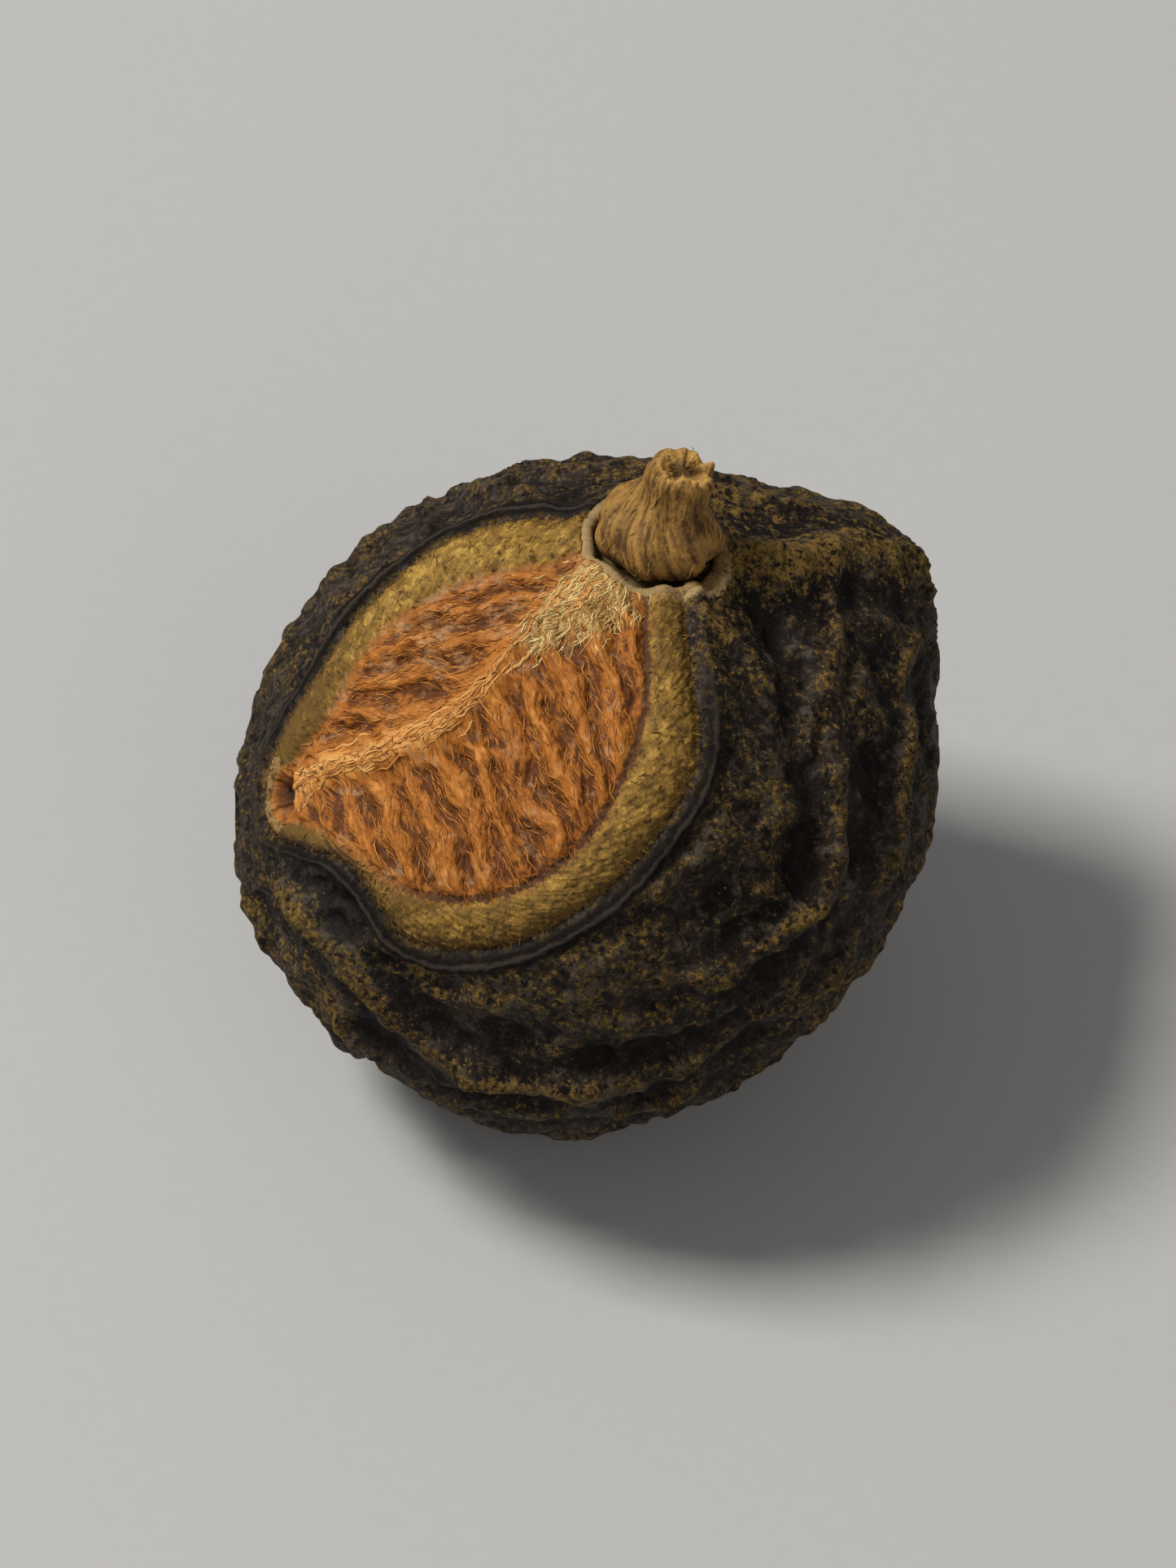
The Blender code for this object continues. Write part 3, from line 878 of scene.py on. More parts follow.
class GeometryGraph(Graph):
    """A Geometry Nodes tree with named inputs."""

    def __init__(self, name, inputs):
        super().__init__(bpy.data.node_groups.new(name, "GeometryNodeTree"))
        self.tree.is_modifier = True
        interface = self.tree.interface
        interface.new_socket("Geometry", in_out="INPUT", socket_type="NodeSocketGeometry")
        for socket_name, kind in {**inputs, "Finish": "Material"}.items():
            interface.new_socket(socket_name, in_out="INPUT", socket_type="NodeSocket" + kind)
        interface.new_socket("Geometry", in_out="OUTPUT", socket_type="NodeSocketGeometry")
        self.given = self.tree.nodes.new("NodeGroupInput")
        self.result = self.tree.nodes.new("NodeGroupOutput")

    def input(self, name):
        return Wire(self, self.given.outputs[name])

    def named(self, name, kind="FLOAT"):
        """An attribute of the mesh, by name."""
        return self.add("GeometryNodeInputNamedAttribute", {"data_type": kind}, {"Name": name})

    def store(self, geometry, name, value):
        settings = {"data_type": "FLOAT", "domain": "POINT"}
        sockets = {"Geometry": geometry, "Name": name, "Value": value}
        return self.add("GeometryNodeStoreNamedAttribute", settings, sockets)

    def place_mm(self):
        return self.add("GeometryNodeInputPosition") * 1000.0

    def random(self, low, high, step):
        """A random number for each point; each step from the seed gives another."""
        sockets = {"Min": low, "Max": high, "Seed": self.input("Seed") + step}
        return self.add("FunctionNodeRandomValue", {"data_type": "FLOAT"}, sockets)

    def scattered(self):
        """Points over the mesh, as many to a square millimetre as its mark lets grow."""
        chosen = self.named(self.input("Where"))
        density = self.input("Count per mm2") * PER_SQUARE_METRE * chosen
        sockets = {"Mesh": self.input("Geometry"), "Density": density, "Seed": self.input("Seed")}
        settings = {"distribute_method": "RANDOM"}
        return self.add("GeometryNodeDistributePointsOnFaces", settings, sockets)

    def raise_by(self, height):
        """The geometry with each point moved out along its normal."""
        offset = self.add("GeometryNodeInputNormal") * height
        sockets = {"Geometry": self.input("Geometry"), "Offset": offset}
        return self.add("GeometryNodeSetPosition", None, sockets)

    def finish(self, geometry):
        real = self.add("GeometryNodeRealizeInstances", None, {"Geometry": geometry})
        sockets = {"Geometry": real, "Material": self.input("Finish")}
        dressed = self.add("GeometryNodeSetMaterial", None, sockets)
        self.tree.links.new(dressed.socket, self.result.inputs["Geometry"])
        return self


# %% [markdown]
# ## From numbers to a mesh, and through a tree
# The grounds that the trees start from are plain arrays of points, faces and marks. A mark
# becomes an attribute of the mesh, which both the trees and the finishes can read by its name.


# %% Meshes and runs
def run_tree(graph, ground, values, name):
    """The plain mesh that a tree makes of another mesh, as a new object at the origin."""
    carrier = bpy.data.objects.new(name + "_carrier", ground)
    bpy.context.scene.collection.objects.link(carrier)
    modifier = carrier.modifiers.new(name, "NODES")
    modifier.node_group = graph.tree
    for item in graph.tree.interface.items_tree:
        if item.in_out == "INPUT" and item.name in values:
            modifier[item.identifier] = values[item.name]
    seen = carrier.evaluated_get(bpy.context.evaluated_depsgraph_get())
    mesh = bpy.data.meshes.new_from_object(seen)
    mesh.name = name
    bpy.data.objects.remove(carrier)
    made = bpy.data.objects.new(name, mesh)
    bpy.context.scene.collection.objects.link(made)
    mesh.calc_loop_triangles()
    print(f"{name}: {len(mesh.vertices)} points, {len(mesh.loop_triangles)} triangles")
    return made


def mesh_from(name, points, faces, marks):
    """A mesh of these points and faces, with each mark as an attribute of its points."""
    mesh = bpy.data.meshes.new(name)
    mesh.from_pydata(points.tolist(), [], faces)
    for mark, values in marks.items():
        kind, key = ("FLOAT_VECTOR", "vector") if values.ndim == 2 else ("FLOAT", "value")
        attribute = mesh.attributes.new(mark, kind, "POINT")
        attribute.data.foreach_set(key, np.ascontiguousarray(values, dtype=np.float32).ravel())
    mesh.shade_smooth()
    return mesh


# %% [markdown]
# ## The skin's ground
# The skin is a ball of squares pushed out to the fruit's form. A ball of rings would pinch at its
# poles, so this one is a cube blown up round. Its squares are closer on the side of the scar.
# Under the scar it dips out of sight, because the scar is a finer piece of its own that lies over
# it.

# %% Skin ground
SKIN_CELLS = 128
CROWDING = 0.35
TUCK = 0.35 * MM
VALLEY_DEPTH = 0.15 * MM


def even_sphere(cells):
    """Unit directions and square faces of a ball, with smaller squares towards the scar."""
    bm = bmesh.new()
    bmesh.ops.create_cube(bm, size=2)
    bmesh.ops.subdivide_edges(bm, edges=bm.edges[:], cuts=cells - 1, use_grid_fill=True)
    bmesh.ops.recalc_face_normals(bm, faces=bm.faces[:])
    grid = np.array([v.co for v in bm.verts])
    faces = [[v.index for v in f.verts] for f in bm.faces]
    bm.free()
    ball = unit(np.tan(np.clip(grid, -1, 1) * math.pi / 4))
    angle = np.arccos(np.clip(ball[:, 2], -1, 1))
    drawn_in = angle - CROWDING * np.sin(angle)
    ring = np.hypot(ball[:, 0], ball[:, 1])
    scale = np.sin(drawn_in) / np.maximum(ring, TINY)
    local = np.stack([ball[:, 0] * scale, ball[:, 1] * scale, np.cos(drawn_in)], axis=1)
    return local @ np.array([scar_along, scar_across, scar_out]), faces


directions, squares = even_sphere(SKIN_CELLS)
radius, marks = fruit_form(directions)
under_scar = 1 - smooth_step(marks["past_border"], -0.3 * MM, -0.02 * MM)
off_stub = smooth_step(marks["off_stub"], 2 * MM, 3 * MM)
carved = VALLEY_DEPTH * marks["valley"] * marks["wrinkled"] * off_rest(directions) * off_stub
points = CENTRE + directions * (radius - TUCK * under_scar - carved)[:, None]
points[:, 2] = np.maximum(points[:, 2], 0)

# %% [markdown]
# ## What the skin is marked with
# The dry skin is charcoal, but mustard and olive flecks gather in places: on the ridge behind the
# stub, just under the lip and along the crests of the folds. The places are listed, and
# noise fills in the rest of the fruit. At the scar's tip a small hollow has a torn rim, which
# lies partly on the skin and partly on the border, so one function marks it on both. The grey
# line along the lip fades out there, and beside the collar.

# %% Olive patches and the torn tip
TIP_RIM = 0.85 * MM
TIP_RIM_WIDTH = 0.25 * MM
TIP_WAVER = 0.45 * MM
TIP_CRUMBS = 26
TIP_SEED = 71.0
TIP_REACH = 1.8 * MM
NO_LIP_PLACE = (-20, 49)
NO_LIP_REACH = 3.4 * MM
CLOUDS = 3.1
CLOUD_SEED = 90.0
CLOUD_STRENGTH = 0.35
OLIVE_PLACES = (
    ((-16, 51), 1.0, 1.5),
    ((-25, 48), 1.0, 1.5),
    ((-8, 62), 1.0, 1.5),
    ((-15, 73), 1.0, 2.0),
    ((-12, 88), 0.8, 2.2),
    ((4, 72), 0.7, 1.6),
    ((-166, 43.5), 1.0, 1.1),
    ((-148, 43), 0.6, 0.8),
    ((155, 50), 0.9, 1.4),
    ((-85, 62), 0.6, 1.2),
    ((-145, 68), 0.6, 1.6),
    ((170, 60), 0.5, 1.2),
    ((-40, 80), 0.5, 1.6),
)


def tip_rim_at(directions, from_tip):
    """How far each place is on the torn rim round the hollow at the scar's tip."""
    waver = TIP_WAVER * noise_at(directions * TIP_CRUMBS, TIP_SEED)
    return bell(from_tip + waver - TIP_RIM, TIP_RIM_WIDTH)


def olive_at(directions):
    """How olive each place is, from 0 to 1."""
    olive = np.zeros(len(directions))
    for spot, strength, spread in OLIVE_PLACES:
        patch = bell(distance_over(directions, place(*spot)), spread * MM)
        olive = np.maximum(olive, strength * patch)
    clouds = np.clip(noise_at(directions * CLOUDS, CLOUD_SEED) * 2.2, 0, 1)
    return np.clip(olive + CLOUD_STRENGTH * clouds, 0, 1)


SKIN_MARKS = ("wrinkled", "crest", "valley", "hollow", "collar")
skin_marks = {name: marks[name] for name in SKIN_MARKS}
skin_marks["olive"] = olive_at(directions)
# How strong the lip's painted shade and highlight are: they fade out at the scar's tip and beside
# the collar.
beside_collar = bell(distance_over(directions, place(*NO_LIP_PLACE)), NO_LIP_REACH)
skin_marks["from_lip"] = marks["past_border"] - LIP_OFFSET
skin_marks["lip_strength"] = (1 - beside_collar) * (1 - bell(marks["tip"], TIP_REACH))
skin_marks["tip_rim"] = tip_rim_at(directions, marks["tip"])
skin_ground = mesh_from("skin_ground", points, squares, skin_marks)
print("skin ground:", len(points), "points")

# %% [markdown]
# ## The skin's grain
# Seen close, the skin is a net of fine wrinkles with pebbly grain between them. Geometry Nodes
# push each point out along its normal by noise. The same noise is kept as an attribute, so that
# the colour knows crest from hollow.

# %% Skin grain tree
def skin_grain():
    g = GeometryGraph("Skin grain", {
        "Wrinkle height": "Float", "Wrinkle spacing": "Float",
        "Pebble height": "Float", "Pebble size": "Float", "Grit height": "Float",
    })
    where = g.place_mm()
    rough = (0.35 + 0.65 * g.named("wrinkled")) * (1 - 0.6 * g.named("hollow"))
    bent = where + g.noise(where, 2.2).output("Color") * 0.9
    folded = g.streaks(bent, g.three(g.input("Wrinkle spacing")), 1.0) * 2 - 1
    ridge = g.math("MAXIMUM", 1 - g.math("ABSOLUTE", folded) * 3.2, 0.0)
    pebble = 1 - g.cells(bent / g.three(g.input("Pebble size"))) * 1.3
    grit = g.noise(where, 0.14, 2.0)
    height = g.input("Wrinkle height") * (ridge - 0.3)
    height = height + g.input("Pebble height") * (pebble - 0.4) * (0.4 + 0.6 * grit)
    height = (height + g.input("Grit height") * (grit - 0.5)) * rough
    kept = g.store(g.store(g.raise_by(height), "ridge", ridge), "pebble", pebble)
    return g.finish(kept)


skin = run_tree(skin_grain(), skin_ground, {
    "Wrinkle height": 0.12 * MM, "Wrinkle spacing": 1.3,
    "Pebble height": 0.09 * MM, "Pebble size": 0.46, "Grit height": 0.04 * MM,
    "Finish": finishes["skin"],
}, "dried_skin")

# %% [markdown]
# ## The scar's ground
# The scar's face is a round net of squares stretched to the border's outline. A net of rings
# would pinch in the middle, so this one is a square net eased out to a circle. Its rim dives
# under the skin's lip, as the real border does, and it is closed below.

# %% Scar ground
SCAR_CELLS = 296
SCAR_OVERLAP = 0.24 * MM
RIM_DIVE = 0.35 * MM
RIM_DEPTH = 0.8 * MM
TIP_DENT = 0.20 * MM
TIP_DENT_WIDTH = 0.55 * MM


def round_net(cells):
    """A square net eased out to a circle: bearing and share of the reach, faces and rim."""
    line = np.linspace(-1, 1, cells + 1)
    a, b = [grid.ravel() for grid in np.meshgrid(line, line)]
    wide = np.abs(a) > np.abs(b)
    share = np.where(wide, a, b)
    other = np.where(wide, b, a)
    turn = math.pi / 4 * other / np.where(share == 0, 1, share)
    turn = np.where(wide, turn, math.pi / 2 - turn)
    bearing = np.arctan2(share * np.sin(turn), share * np.cos(turn))
    row = cells + 1
    start = (np.arange(cells)[:, None] * row + np.arange(cells)[None]).ravel()
    faces = np.stack([start, start + 1, start + 1 + row, start + row], axis=1).tolist()
    first, last = list(range(cells)), [cells * row + i for i in range(cells, 0, -1)]
    right = [i * row + cells for i in range(cells)]
    left = [i * row for i in range(cells, 0, -1)]
    return bearing, np.abs(share), faces, first + right + last + left


net_bearing, net_share, faces, rim = round_net(SCAR_CELLS)
limit = closed_outline(BORDER_OUTLINE, net_bearing) + SCAR_OVERLAP / HALF_WIDTH
net_reach = net_share * limit
flat = np.cos(net_bearing)[:, None] * scar_along + np.sin(net_bearing)[:, None] * scar_across
directions = np.sin(net_reach)[:, None] * flat + np.cos(net_reach)[:, None] * scar_out
radius, marks = fruit_form(directions)
radius -= RIM_DIVE * smooth_step(marks["past_border"], -0.04 * MM, 0.2 * MM)
radius -= TIP_DENT * bell(marks["tip"], TIP_DENT_WIDTH)
points = CENTRE + directions * radius[:, None]

low_rim = points[rim] - directions[rim] * RIM_DEPTH
middle = low_rim.mean(axis=0)
count, around_rim = len(points), len(rim)
for i in range(around_rim):
    j = (i + 1) % around_rim
    faces.append([rim[j], rim[i], count + i, count + j])
    faces.append([count + j, count + i, count + around_rim])
points = np.vstack([points, low_rim, middle[None]])

# %% [markdown]
# ## What the scar's strands follow
# Each kind of fibre grows where its own mark says and lies along its own direction: the facets'
# fibres slant back from the keel, the keel's strands run along it, the cream net fans out below
# the stub and the border's short fibres point outwards.

# %% Marks and directions on the scar
KEEL_SPREAD = 0.35 * MM
TIP_SPREAD = 0.70 * MM
DULL_SPREAD = 4.5 * MM
LIT_SIDE_PLACE = (60, 40)
LIT_SIDE_REACH = 4.0 * MM
CREAM_PLACES = (
    ((7, 21.5), 0.45), ((5, 24.5), 0.60), ((1, 27), 0.65), ((3, 31), 0.75), ((-4, 30), 0.60),
    ((3, 35), 0.75), ((-3, 35), 0.75), ((-1, 39), 0.80), ((-6, 42), 0.60), ((-4, 46), 0.50),
)

fading = 1 - 0.75 * smooth_step(marks["along"], 0.45, 0.75)
marks["keel_share"] = bell(marks["keel"], KEEL_SPREAD) * marks["on_scar"] * fading
marks["tip_share"] = bell(marks["tip"], TIP_SPREAD)
marks["dull"] = bell(marks["tip"], DULL_SPREAD)
past_scar = smooth_step(marks["past_edge"], 0.2 * MM, 0.7 * MM)
marks["tip_rim"] = tip_rim_at(directions, marks["tip"]) * past_scar
cream = np.zeros(len(directions))
for spot, spread in CREAM_PLACES:
    cream = np.maximum(cream, bell(distance_over(directions, place(*spot)), spread * MM))
marks["cream"] = cream * (1 - smooth_step(marks["past_edge"], 0.0, 0.6 * MM))
clear_of_stub = smooth_step(marks["off_stub"], 1.9 * MM, 2.3 * MM)
marks["facet_place"] = marks["on_scar"] * (1 - marks["tip_share"]) * clear_of_stub
past_tip = smooth_step(marks["along"], 0.04, 0.12)
marks["keel_place"] = marks["keel_share"] * past_tip * clear_of_stub
marks["cream_place"] = marks["cream"] * clear_of_stub
on_band = smooth_step(marks["past_edge"], -0.1 * MM, 0.15 * MM)
near_rim = smooth_step(marks["past_border"], -0.7 * MM, -0.1 * MM)
inside_rim = 1 - smooth_step(marks["past_border"], 0.0, 0.12 * MM)
# The side of the border that faces the light. It lightens the border's colour there as painted
# light, and more nap grows there.
sunny = bell(distance_over(directions, place(*LIT_SIDE_PLACE)), LIT_SIDE_REACH)
nap = 0.08 + near_rim * (0.25 + 0.75 * sunny)
marks["border_share"] = on_band * nap * inside_rim * clear_of_stub
marks["sunny"] = sunny
marks["outward_flow"] = unit(directions * (directions @ scar_out)[:, None] - scar_out)
marks["cream_flow"] = unit(stalk_axis - directions)

SCAR_MARKS = (
    "past_edge", "past_border", "lower_side", "furrow", "keel_share", "tip_share", "tip_rim",
    "dull", "cream", "sunny", "collar", "socket", "on_scar", "fibre_place", "border_place",
    "facet_place", "keel_place", "cream_place", "border_share",
    "keel_flow", "rib_flow", "outward_flow", "cream_flow",
)
lower = rim + [rim[0]]
scar_marks = {name: np.concatenate([marks[name], marks[name][lower]]) for name in SCAR_MARKS}
scar_ground = mesh_from("scar_ground", points, faces, scar_marks)
print(f"scar ground: {len(points)} points, fibres on {marks['facet_place'].mean():.2f} of it")

# %% [markdown]
# ## The scar's grain
# Torn fibre isn't wavy like water: its ridges are long, thin and uneven. Noise is drawn out along
# the fibres on the torn faces and outwards on the border. It could be a bump in the finish alone,
# but then the edges of the keel and the grooves would stay smooth.


# %% Scar grain tree
def scar_grain():
    g = GeometryGraph("Scar grain", {
        "Bundle height": "Float", "Fibre height": "Float", "Ray height": "Float",
        "Crumb height": "Float",
    })
    where = g.place_mm()
    fibre = g.named("fibre_place", "FLOAT_VECTOR") * 1000.0
    outward = g.named("border_place", "FLOAT_VECTOR") * 1000.0
    bundle = g.streaks(fibre, (0.50, 1.2, 1.0), 2.0, 0.6)
    thread = g.streaks(fibre, (0.17, 0.55, 1.0), 2.0, 0.6)
    ray = g.streaks(outward, (0.26, 0.5, 1.0), 3.0, 0.6)
    crumb = g.noise(where, 0.22, 3.0, 0.65)
    torn = g.named("on_scar")
    band = (1 - torn) * (1 - g.named("collar"))
    crumbs = g.input("Crumb height") * (crumb - 0.5)
    on_faces = g.input("Bundle height") * (bundle - 0.5) + g.input("Fibre height") * (thread - 0.5)
    on_band = g.input("Ray height") * (ray - 0.5) + crumbs
    height = on_faces * torn + on_band * band + crumbs * 0.4
    relief = (bundle * 0.5 + thread * 0.5 - 0.5) * torn + (ray - 0.5) * band
    return g.finish(g.store(g.raise_by(height), "relief", relief * 2))


scar = run_tree(scar_grain(), scar_ground, {
    "Bundle height": 0.34 * MM, "Fibre height": 0.20 * MM, "Ray height": 0.16 * MM,
    "Crumb height": 0.20 * MM, "Finish": finishes["scar"],
}, "scar_face")

# %% [markdown]
# ## One tree for every kind of strand
# Strands are scattered by a mark, turned along a direction with some stray, laid down on the
# surface and tapered to fine ends. Hand-placed hairs would look combed. The facets, the keel, the
# cream net, the border and the stalk all use this same tree with other numbers.


# %% Strand tree
STRAND_INPUTS = {
    "Where": "String", "Along": "String", "Count per mm2": "Float", "Shortest": "Float",
    "Longest": "Float", "Thickness": "Float", "Stray": "Float", "Lift": "Float", "Rise": "Float",
    "Bow": "Float", "Points": "Int", "Sides": "Int", "Seed": "Int",
}


def scattered_lines(g):
    """Straight lines on points of the mesh, each turned along the flow with some stray."""
    roots = g.scattered()
    turned = g.add("ShaderNodeVectorRotate", {"rotation_type": "AXIS_ANGLE"}, {
        "Vector": g.named(g.input("Along"), "FLOAT_VECTOR"), "Axis": roots.output("Normal"),
        "Angle": g.random(-1.0, 1.0, 1) * g.input("Stray"),
    })
    lie = g.add("FunctionNodeAlignRotationToVector", {"axis": "Z"}, {"Vector": turned})
    tinted = g.store(roots, "tint", g.random(0.0, 1.0, 2))
    tinted = g.store(tinted, "thick", g.random(0.55, 1.0, 4))
    tinted = g.store(tinted, "rising", g.random(0.0, 1.0, 5) ** 3.0)
    line = g.add("GeometryNodeCurvePrimitiveLine", None, {"Start": (0, 0, -0.5), "End": (0, 0, 0.5)})
    line = g.add("GeometryNodeResampleCurve", None, {"Curve": line, "Count": g.input("Points")})
    line = g.store(line, "share", g.add("GeometryNodeSplineParameter"))
    length = g.random(g.input("Shortest"), g.input("Longest"), 6)
    laid = g.add("GeometryNodeInstanceOnPoints", None, {
        "Points": tinted, "Instance": line, "Rotation": lie, "Scale": g.three(length),
    })
    return g.add("GeometryNodeRealizeInstances", None, {"Geometry": laid})


def strands():
    g = GeometryGraph("Strands", STRAND_INPUTS)
    laid = scattered_lines(g)
    ground = g.input("Geometry")
    along = g.named("share")
    arch = 4.0 * along * (1 - along)
    here = g.add("GeometryNodeInputPosition")
    waver = g.noise(here * 1000.0, 0.5, 1.0).output("Color")
    sideways = g.vector("SUBTRACT", waver, (0.5, 0.5, 0.5)) * (g.input("Bow") * arch)
    near = here + sideways
    skin_point = g.add("GeometryNodeProximity", {"target_element": "FACES"}, {
        "Target": ground, "Source Position": near,
    })
    normal = g.add("GeometryNodeSampleNearestSurface", {"data_type": "FLOAT_VECTOR"}, {
        "Mesh": ground, "Value": g.add("GeometryNodeInputNormal"), "Sample Position": near,
    })
    lift = g.input("Lift") + g.input("Rise") * g.named("rising") * along ** 1.5
    sockets = {"Geometry": laid, "Position": skin_point + normal * lift}
    placed = g.add("GeometryNodeSetPosition", None, sockets)
    sockets = {"Resolution": g.input("Sides"), "Radius": 1.0}
    ring = g.add("GeometryNodeCurvePrimitiveCircle", None, sockets)
    taper = g.input("Thickness") * g.named("thick") * (0.25 + 0.75 * arch ** 0.6)
    return g.finish(g.add("GeometryNodeCurveToMesh", None, {
        "Curve": placed, "Profile Curve": ring, "Scale": taper, "Fill Caps": True,
    }))


strand_tree = strands()

# %% [markdown]
# ## The scar's strands
# The fibres on the facets are short and fine and mostly lie flat. The keel is a braid of a few
# thicker, paler strands. The cream net strays widely, and the border is a nap of short stiff
# fibres.

# %% Strands of the scar
facet_fibres = run_tree(strand_tree, scar.data, {
    "Where": "facet_place", "Along": "rib_flow", "Count per mm2": 22.0, "Shortest": 0.25 * MM,
    "Longest": 0.8 * MM, "Thickness": 0.024 * MM, "Stray": 0.60, "Lift": -0.006 * MM,
    "Rise": 0.08 * MM, "Bow": 0.35 * MM, "Points": 6, "Sides": 4, "Seed": 3,
    "Finish": finishes["facet"],
}, "facet_fibres")
keel_strands = run_tree(strand_tree, scar.data, {
    "Where": "keel_place", "Along": "keel_flow", "Count per mm2": 17.0, "Shortest": 0.5 * MM,
    "Longest": 1.8 * MM, "Thickness": 0.040 * MM, "Stray": 0.22, "Lift": 0.004 * MM,
    "Rise": 0.06 * MM, "Bow": 0.6 * MM, "Points": 12, "Sides": 5, "Seed": 5,
    "Finish": finishes["keel"],
}, "keel_strands")
cream_net = run_tree(strand_tree, scar.data, {
    "Where": "cream_place", "Along": "cream_flow", "Count per mm2": 90.0, "Shortest": 0.3 * MM,
    "Longest": 0.9 * MM, "Thickness": 0.034 * MM, "Stray": 0.50, "Lift": -0.004 * MM,
    "Rise": 0.04 * MM, "Bow": 0.45 * MM, "Points": 8, "Sides": 4, "Seed": 7,
    "Finish": finishes["cream"],
}, "cream_net")
border_nap = run_tree(strand_tree, scar.data, {
    "Where": "border_share", "Along": "outward_flow", "Count per mm2": 55.0, "Shortest": 0.15 * MM,
    "Longest": 0.45 * MM, "Thickness": 0.022 * MM, "Stray": 0.70, "Lift": -0.004 * MM,
    "Rise": 0.14 * MM, "Bow": 0.2 * MM, "Points": 4, "Sides": 3, "Seed": 9,
    "Finish": finishes["border"],
}, "border_nap")

# %% [markdown]
# ## The stub of the stalk
# The stub is a swollen foot that narrows to a neck, turned round its own axis, with seven soft
# ribs and a slight lean. Its profile is drawn as a smooth curve through a few measured points.
# The neck's end is torn, so its rim stands uneven round a golden hollow.

# %% Stub shape
STUB_RIM = (0.80, 3.90)
STUB_PROFILE = (
    (1.20, 0.30), (1.58, 0.45), (1.80, 0.80), (1.86, 1.20), (1.74, 1.65), (1.42, 2.05), (1.13, 2.45),
    (1.00, 2.90), (1.01, 3.35), (0.98, 3.70), STUB_RIM, (0.55, 3.78), (0.25, 3.66),
)
STUB_PITH_HEIGHT = 3.60
STUB_RINGS = 11
STUB_SIDES = 168
STUB_LEAN = 0.32 * MM
LEAN_HEIGHT = 3.78
STUB_RIBS = 7
STUB_RIB_SHARE = 0.06
STUB_RIB_TWIST = 0.8
TORN_DEPTH = 0.45
TORN_HEIGHTS = (3.2, 3.9)
TORN_TEETH = 2.3
TORN_SEED = 33.0
stalk_side = np.cross(stalk_axis, (0, -1, 0))
stalk_side /= np.linalg.norm(stalk_side)
stalk_front = np.cross(stalk_axis, stalk_side)
foot = CENTRE + stalk_axis * SOCKET_FLOOR


def turns_of(sides):
    """The angles of a ring with this many sides."""
    return np.linspace(0, 2 * math.pi, sides, endpoint=False)


def away_from_stalk(turns):
    """Unit directions away from the stalk's axis, one for each angle round it."""
    return np.cos(turns)[:, None] * stalk_side + np.sin(turns)[:, None] * stalk_front


def ring_noise(turns, waves, seed):
    """Noise round a ring, which meets itself without a step."""
    circle = np.stack([np.cos(turns) * waves, np.sin(turns) * waves, 0 * turns], axis=1)
    return noise_at(circle, seed)


def stub_points(profile, turns):
    """Points of the stub in rings, from its foot to the hollow in its end."""
    ring_radius, ring_height = profile[:, 0][:, None], profile[:, 1][:, None]
    rib = 1 + STUB_RIB_SHARE * np.cos(STUB_RIBS * turns[None] + STUB_RIB_TWIST * ring_height)
    ragged = np.clip(0.35 + ring_noise(turns, TORN_TEETH, TORN_SEED), 0, 1)
    near_top = smooth_step(ring_height, *TORN_HEIGHTS)
    height = ring_height - TORN_DEPTH * near_top * ragged[None]
    lean = STUB_LEAN * (height / LEAN_HEIGHT) ** 2
    points = foot + (ring_radius * rib * MM)[..., None] * away_from_stalk(turns)[None]
    points = points + (height * MM)[..., None] * stalk_axis + lean[..., None] * stalk_side
    return points.reshape(-1, 3)


profile = smooth_curve(STUB_PROFILE, STUB_RINGS)
stub_turns = turns_of(STUB_SIDES)
bottom = foot + profile[0, 1] * MM * stalk_axis
pith_end = foot + STUB_PITH_HEIGHT * MM * stalk_axis + STUB_LEAN * stalk_side
points = np.vstack([stub_points(profile, stub_turns), [bottom, pith_end]])
print("stub:", len(profile), "rings of", STUB_SIDES, "points")

# %% [markdown]
# ## The stub's faces and marks
# Rings of points are joined by squares, and each end is closed by triangles that meet in one
# point. The marks tell bark from torn end and pith. They follow the share of the way up the
# profile, since the height alone would mix up the neck's outside with its hollow.


# %% Stub ground
def band_faces(rings, sides, closed=False):
    """Squares that join rings of points, and the last ring to the first one if closed."""
    faces = []
    for i in range(rings if closed else rings - 1):
        j = (i + 1) % rings
        for k in range(sides):
            m = (k + 1) % sides
            faces.append([i * sides + k, i * sides + m, j * sides + m, j * sides + k])
    return faces


BARK_RADIUS = 1.4 * MM
STREAK_TURN = 0.35
# Painted shade on the stub's foot, low in the socket.
FOOT_SHADE = 0.6
SHADED_HEIGHTS = (0.65 * MM, 1.00 * MM)
rings = len(profile)
faces = band_faces(rings, STUB_SIDES)
last = (rings - 1) * STUB_SIDES
for j in range(STUB_SIDES):
    k = (j + 1) % STUB_SIDES
    faces.append([k, j, rings * STUB_SIDES])
    faces.append([last + j, last + k, rings * STUB_SIDES + 1])

height = (points - foot) @ stalk_axis
all_turns = np.concatenate([np.tile(stub_turns, rings), [0, 0]])
streak_turn = all_turns + STREAK_TURN * height / MM
share = np.concatenate([np.repeat(np.arange(rings) / (rings - 1), STUB_SIDES), [0, 1]])
rim_share = STUB_PROFILE.index(STUB_RIM) / (len(STUB_PROFILE) - 1)
bark_place = [BARK_RADIUS * np.cos(streak_turn), height, BARK_RADIUS * np.sin(streak_turn)]
stub_marks = {
    "stalk_place": np.stack(bark_place, axis=1),
    "broken": smooth_step(share, rim_share - 0.05, rim_share + 0.01),
    "pith": smooth_step(share, rim_share + 0.05, 1.0),
    "bark": 1 - smooth_step(share, rim_share - 0.12, rim_share - 0.05),
    "bark_flow": np.tile(stalk_axis, (len(points), 1)),
    "shaded": FOOT_SHADE * (1 - smooth_step(height, *SHADED_HEIGHTS)),
}
stub_ground = mesh_from("stub_ground", points, faces, stub_marks)
print("stub ground:", len(points), "points,", round(height.max() / MM, 2), "mm tall")

